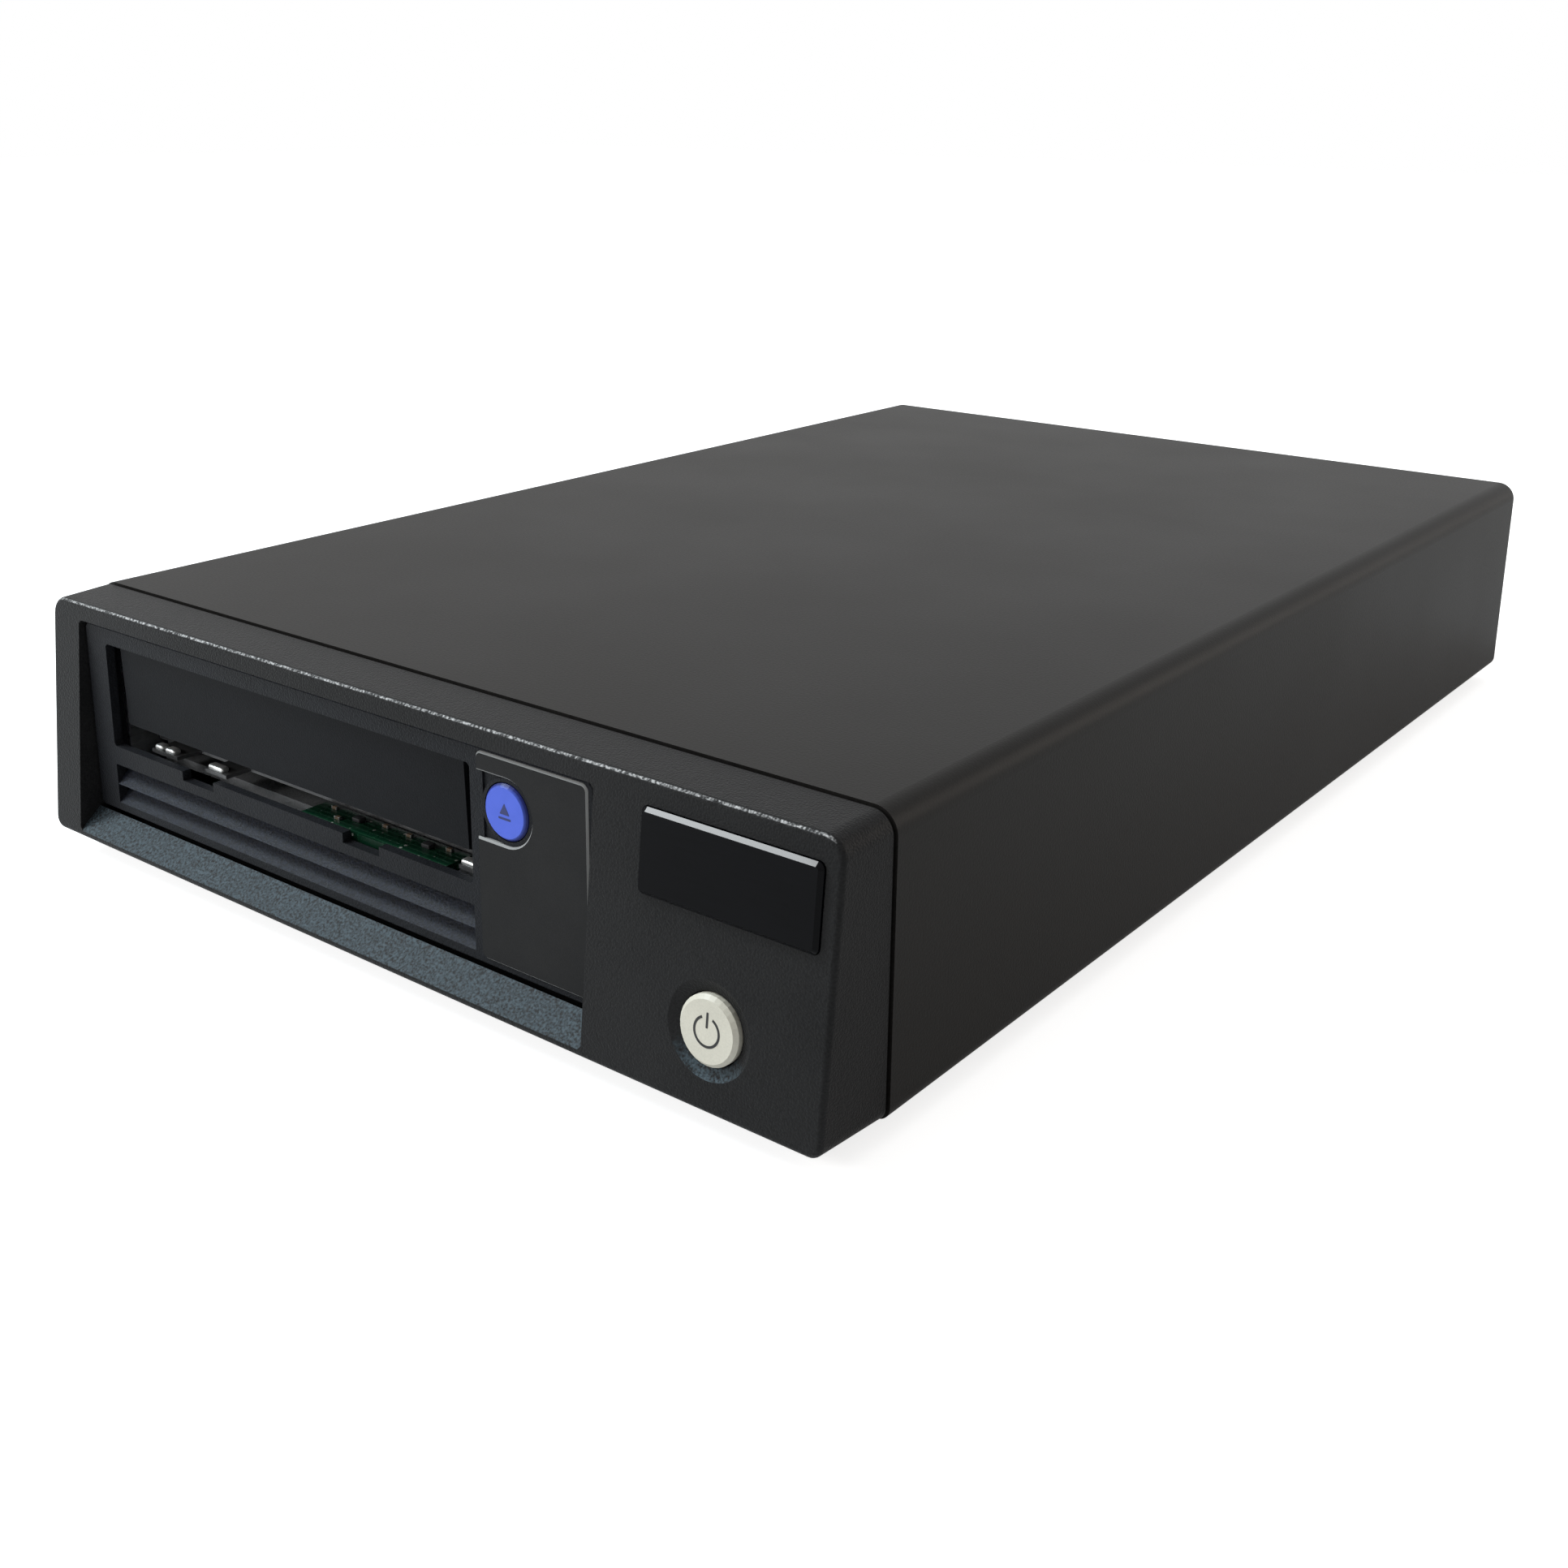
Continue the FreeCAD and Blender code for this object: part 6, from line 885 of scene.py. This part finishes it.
# Power supply: ferrite core over a taped winding, sleeved capacitors with a
# dished aluminium top, and a ribbed heat sink sawn from extruded bar. Turned
# brass posts hold both boards off the tray.
winding_tape = grained(
    "winding_tape", (0.4, 0.27, 0.03), (0.55, 0.4, 0.07), patch=0.01, grain=0.0008, depth=0.00002,
    smooth=0.3, rough=0.45, stretch=(20, 20, 1))
dress(winding_tape, "supply_transformer")
ferrite = grained(
    "ferrite", (0.025, 0.025, 0.027), (0.05, 0.05, 0.053), patch=0.004, grain=0.0004, depth=0.00003,
    smooth=0.55, rough=0.7)
bared, proud = 3.9, 0.1
core_low, core_high = (corner * 1000 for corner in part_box("supply_transformer"))
core = rounded_block("transformer_core", (core_low.x - proud, core_low.y + bared, core_low.z),
                     (core_high.x + proud, core_high.y - bared, core_high.z + proud), 0.5)
fit(core, ferrite, "case", "inlet_plastic")
sleeve = grained(
    "sleeve", (0.012, 0.02, 0.055), (0.018, 0.03, 0.08), patch=0.01, grain=0.0006, depth=0.000006,
    smooth=0.2, rough=0.3)
dress(sleeve, "supply_capacitors")
mill_finish = grained(
    "mill_finish", (0.5, 0.51, 0.52), (0.68, 0.69, 0.7), patch=0.01, grain=0.0003, depth=0.000006,
    smooth=0.28, rough=0.42, metallic=1.0, stretch=(1, 20, 1))
can_tops = []
tall_top, short_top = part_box("supply_capacitors")[1].z * 1000, 27.1
for x, y, radius, top in ((75.4, 112, 8.0, tall_top), (65, 46, 4.0, short_top),
                          (75.4, 46, 4.0, short_top), (85.8, 46, 4.0, short_top)):
    can = blank(bpy.ops.mesh.primitive_cylinder_add, vertices=24, radius=radius * 0.00082,
                depth=0.0003, location=(x / 1000, y / 1000, top / 1000))
    bpy.ops.object.mode_set(mode="EDIT")
    pick_faces(lambda middle, way: way.z > 0.9)
    bpy.ops.mesh.inset(thickness=radius * 0.0001)
    bpy.ops.mesh.extrude_region_move(TRANSFORM_OT_translate={"value": (0, 0, -0.0001)})
    bpy.ops.mesh.poke()
    bpy.ops.object.mode_set(mode="OBJECT")
    can_tops.append(can)
fit(joined("capacitor_tops", can_tops), mill_finish, "case", "sink_aluminium")
dress(mill_finish, "supply_heat_sink")
turned_brass = grained(
    "turned_brass", (0.45, 0.31, 0.09), (0.62, 0.45, 0.16), patch=0.004, grain=0.0002,
    depth=0.000004, smooth=0.2, rough=0.32, metallic=1.0, stretch=(12, 12, 1))
dress(turned_brass, "board_posts")

# Mains inlet and the drive's rear plug: black mouldings pressed into their
# openings. The inlet has three plated blades in its socket.
inlet_black = grained(
    "inlet_black", (0.01, 0.01, 0.01), (0.024, 0.024, 0.024), patch=0.006, grain=0.0003,
    depth=0.00001, smooth=0.4, rough=0.55, specular=0.4)
dress(inlet_black, "power_inlet", "drive_connector")
blade_wide, blade_high, blade_reach, blade_pitch = 2.08, 4.08, 12.5, 7
live_rise, earth_rise = -0.4, 3.6
inlet_low, inlet_high = (corner * 1000 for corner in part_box("power_inlet"))
inlet_x, inlet_z = (inlet_low.x + inlet_high.x) / 2, (inlet_low.z + inlet_high.z) / 2
blade_face = inlet_high.y - 2.5
blades = []
for x, z in ((inlet_x - blade_pitch, inlet_z + live_rise), (inlet_x, inlet_z + earth_rise),
             (inlet_x + blade_pitch, inlet_z + live_rise)):
    blades.append(rounded_block(
        "blade", (x - blade_wide / 2, blade_face - blade_reach, z - blade_high / 2),
        (x + blade_wide / 2, blade_face + 0.3, z + blade_high / 2), 0.35))
fit(joined("inlet_blades", blades), tinned, "case", "port_shell")

# Data ports: stamped and plated steel shells on the port board. Each has a
# moulded tongue that carries gold-plated contacts on both sides.
bright_shell = grained(
    "bright_shell", (0.5, 0.5, 0.51), (0.68, 0.68, 0.69), patch=0.006, grain=0.0003, depth=0.000006,
    smooth=0.18, rough=0.3, metallic=1.0, stretch=(1, 14, 1))
dress(bright_shell, "data_port_left", "data_port_right")
tongue_black = grained(
    "tongue_black", (0.01, 0.01, 0.01), (0.02, 0.02, 0.02), patch=0.004, grain=0.0002,
    depth=0.00001, smooth=0.45, rough=0.6)
contact_gold = grained(
    "contact_gold", (0.6, 0.42, 0.13), (0.78, 0.57, 0.22), patch=0.001, grain=0.0002,
    depth=0.000003, smooth=0.18, rough=0.28, metallic=1.0)
contact_count, contact_pitch, contact_wide = 18, 0.98, 0.45
tongues, contacts = [], []
for name in ("data_port_left", "data_port_right"):
    low, high = (corner * 1000 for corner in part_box(name))
    tongues.append(rounded_block("tongue", (low.x + 2.96, high.y - 14, high.z - 4.24),
                                 (high.x - 2.96, high.y - 2.9, high.z - 2.96), 0.12, 1))
    contact = rounded_block("contact", (low.x + 4, high.y - 12, high.z - 4.3),
                            (low.x + 4 + contact_wide, high.y - 3.2, high.z - 2.9), 0.04, 1)
    contacts.append(contact)
    contacts.extend(copied(contact, (contact_pitch * step, 0, 0))
                    for step in range(1, contact_count))
fit(joined("port_tongues", tongues), tongue_black, "case", "inlet_plastic")
fit(joined("port_contacts", contacts), contact_gold, "case", "post_brass")

# Fan: frame and rotor moulded in black glass-filled plastic, dull and flow
# marked. The rotor runs in the frame, which is screwed to the rear panel.
fan_black = grained(
    "fan_black", (0.011, 0.011, 0.0115), (0.026, 0.026, 0.027), patch=0.01, grain=0.0003,
    depth=0.00002, smooth=0.45, rough=0.6, specular=0.4)
dress(fan_black, "fan_frame", "fan_rotor")

# Drive's steel box: zinc-coated chassis and lid, finer crystals than the
# tray, with the lid screwed down.
fine_zinc = zinc_coat(
    "fine_zinc", (0.42, 0.43, 0.44), (0.62, 0.63, 0.64), crystal=0.0025, smooth=0.25, rough=0.38)
dress(fine_zinc, "drive_chassis", "drive_lid")

# Cartridge carrier and loading sled: plated sheet gone dull, pressed and
# bent. The rolled lips of the carrier's front tongues show in the slot,
# polished bright by the cartridges.
dull_sheet = grained(
    "dull_sheet", (0.12, 0.122, 0.124), (0.2, 0.202, 0.205), patch=0.008, grain=0.0003,
    depth=0.000005, smooth=0.42, rough=0.55, metallic=1.0, stretch=(1, 16, 1))
dress(dull_sheet, "cartridge_carrier", "loading_sled")
bright_lip = grained(
    "bright_lip", (0.7, 0.7, 0.68), (0.85, 0.85, 0.83), patch=0.002, grain=0.0003, depth=0.000005,
    smooth=0.3, rough=0.42, metallic=0.8)
lip_spans = ((-79.2, -76.6), (-75.6, -72.4), (-60.4, -55.6), (16.3, 20.8))
carrier_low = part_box("cartridge_carrier")[0] * 1000
lips = [rounded_block("lip", (left, carrier_low.y + 0.1, carrier_low.z + 0.7),
                      (right, carrier_low.y + 2.2, carrier_low.z + 1.9), 0.5, 3)
        for left, right in lip_spans]
fit(joined("carrier_lips", lips), bright_lip, "cartridge_carrier", "carrier_steel")

# Deck: die-cast aluminium, shot blasted, so it is grey, dull and pitted. It
# sits on the floor of the drive's steel box and carries the mechanism.
blasted_casting = grained(
    "blasted_casting", (0.15, 0.153, 0.156), (0.25, 0.254, 0.258), patch=0.012, grain=0.0005,
    depth=0.00005, smooth=0.52, rough=0.68, metallic=0.9)
dress(blasted_casting, "deck_casting")


# Motors and guide rollers: steel cans and aluminium rollers, turned on a
# lathe, so each has fine rings round its own axis.
def turned(name, dark, light, node, smooth, rough, metallic=1.0, ring=0.0004):
    """A finish with lathe rings centred on the node."""
    finish, shader, place = new_finish(name, metallic)
    low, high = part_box(node)
    reach = finish.node_tree.nodes.new("ShaderNodeVectorMath")
    reach.operation = "LENGTH"
    axis = ((low.x + high.x) / 2, (low.y + high.y) / 2, 0)
    finish.node_tree.links.new(laid(finish, place, centre=axis, stretch=(1, 1, 1000)),
                               reach.inputs[0])
    rings = finish.node_tree.nodes.new("ShaderNodeTexNoise")
    rings.noise_dimensions = "1D"
    rings.inputs["Scale"].default_value = 1 / ring
    finish.node_tree.links.new(reach.outputs["Value"], rings.inputs["W"])
    tone = combine(finish, "MULTIPLY", combine(finish, "ADD", rings.outputs["Fac"],
                                               cloud(finish, place, 0.01)), 0.5)
    coloured(finish, shader, between(finish, tone, dark, light))
    gloss_range(finish, shader, tone, smooth, rough)
    raised(finish, shader, rings.outputs["Fac"], 0.000006)
    return finish


for node in ("loader_motor", "supply_motor", "take_up_motor", "head_motor"):
    can_steel = turned(
        node + "_steel", (0.36, 0.36, 0.37), (0.54, 0.54, 0.55), node, smooth=0.25, rough=0.4)
    dress(can_steel, node)
for number in range(1, 5):
    node = "guide_roller_%d" % number
    bare_aluminium = turned(
        node + "_aluminium", (0.6, 0.6, 0.61), (0.76, 0.76, 0.77), node, smooth=0.16, rough=0.28)
    dress(bare_aluminium, node)

# Gears: moulded in natural acetal, milky and slightly waxy. The large one
# turns on its shaft, the small one is pressed on the loader motor's.
acetal = grained(
    "acetal", (0.66, 0.65, 0.58), (0.76, 0.75, 0.69), patch=0.006, grain=0.0003, depth=0.000008,
    smooth=0.35, rough=0.45)
dress(acetal, "loader_gear", "motor_pinion")

# Reel and hub: dark glass-filled mouldings with rings left by the mould's
# turning, dull enough not to mark the tape.
for node, moulding in (("take_up_reel", "reel_moulding"), ("supply_hub", "hub_moulding")):
    dark_moulding = turned(
        moulding, (0.014, 0.014, 0.015), (0.03, 0.03, 0.032), node, smooth=0.42, rough=0.55,
        metallic=0.0, ring=0.0012)
    dress(dark_moulding, node)

# Tape head: black ceramic, lapped nearly to a mirror where the tape runs,
# in a carriage that its screw lifts.
lapped_black = grained(
    "lapped_black", (0.008, 0.008, 0.009), (0.016, 0.016, 0.018), patch=0.004, grain=0.0003,
    depth=0.000003, smooth=0.1, rough=0.2)
dress(lapped_black, "tape_head")
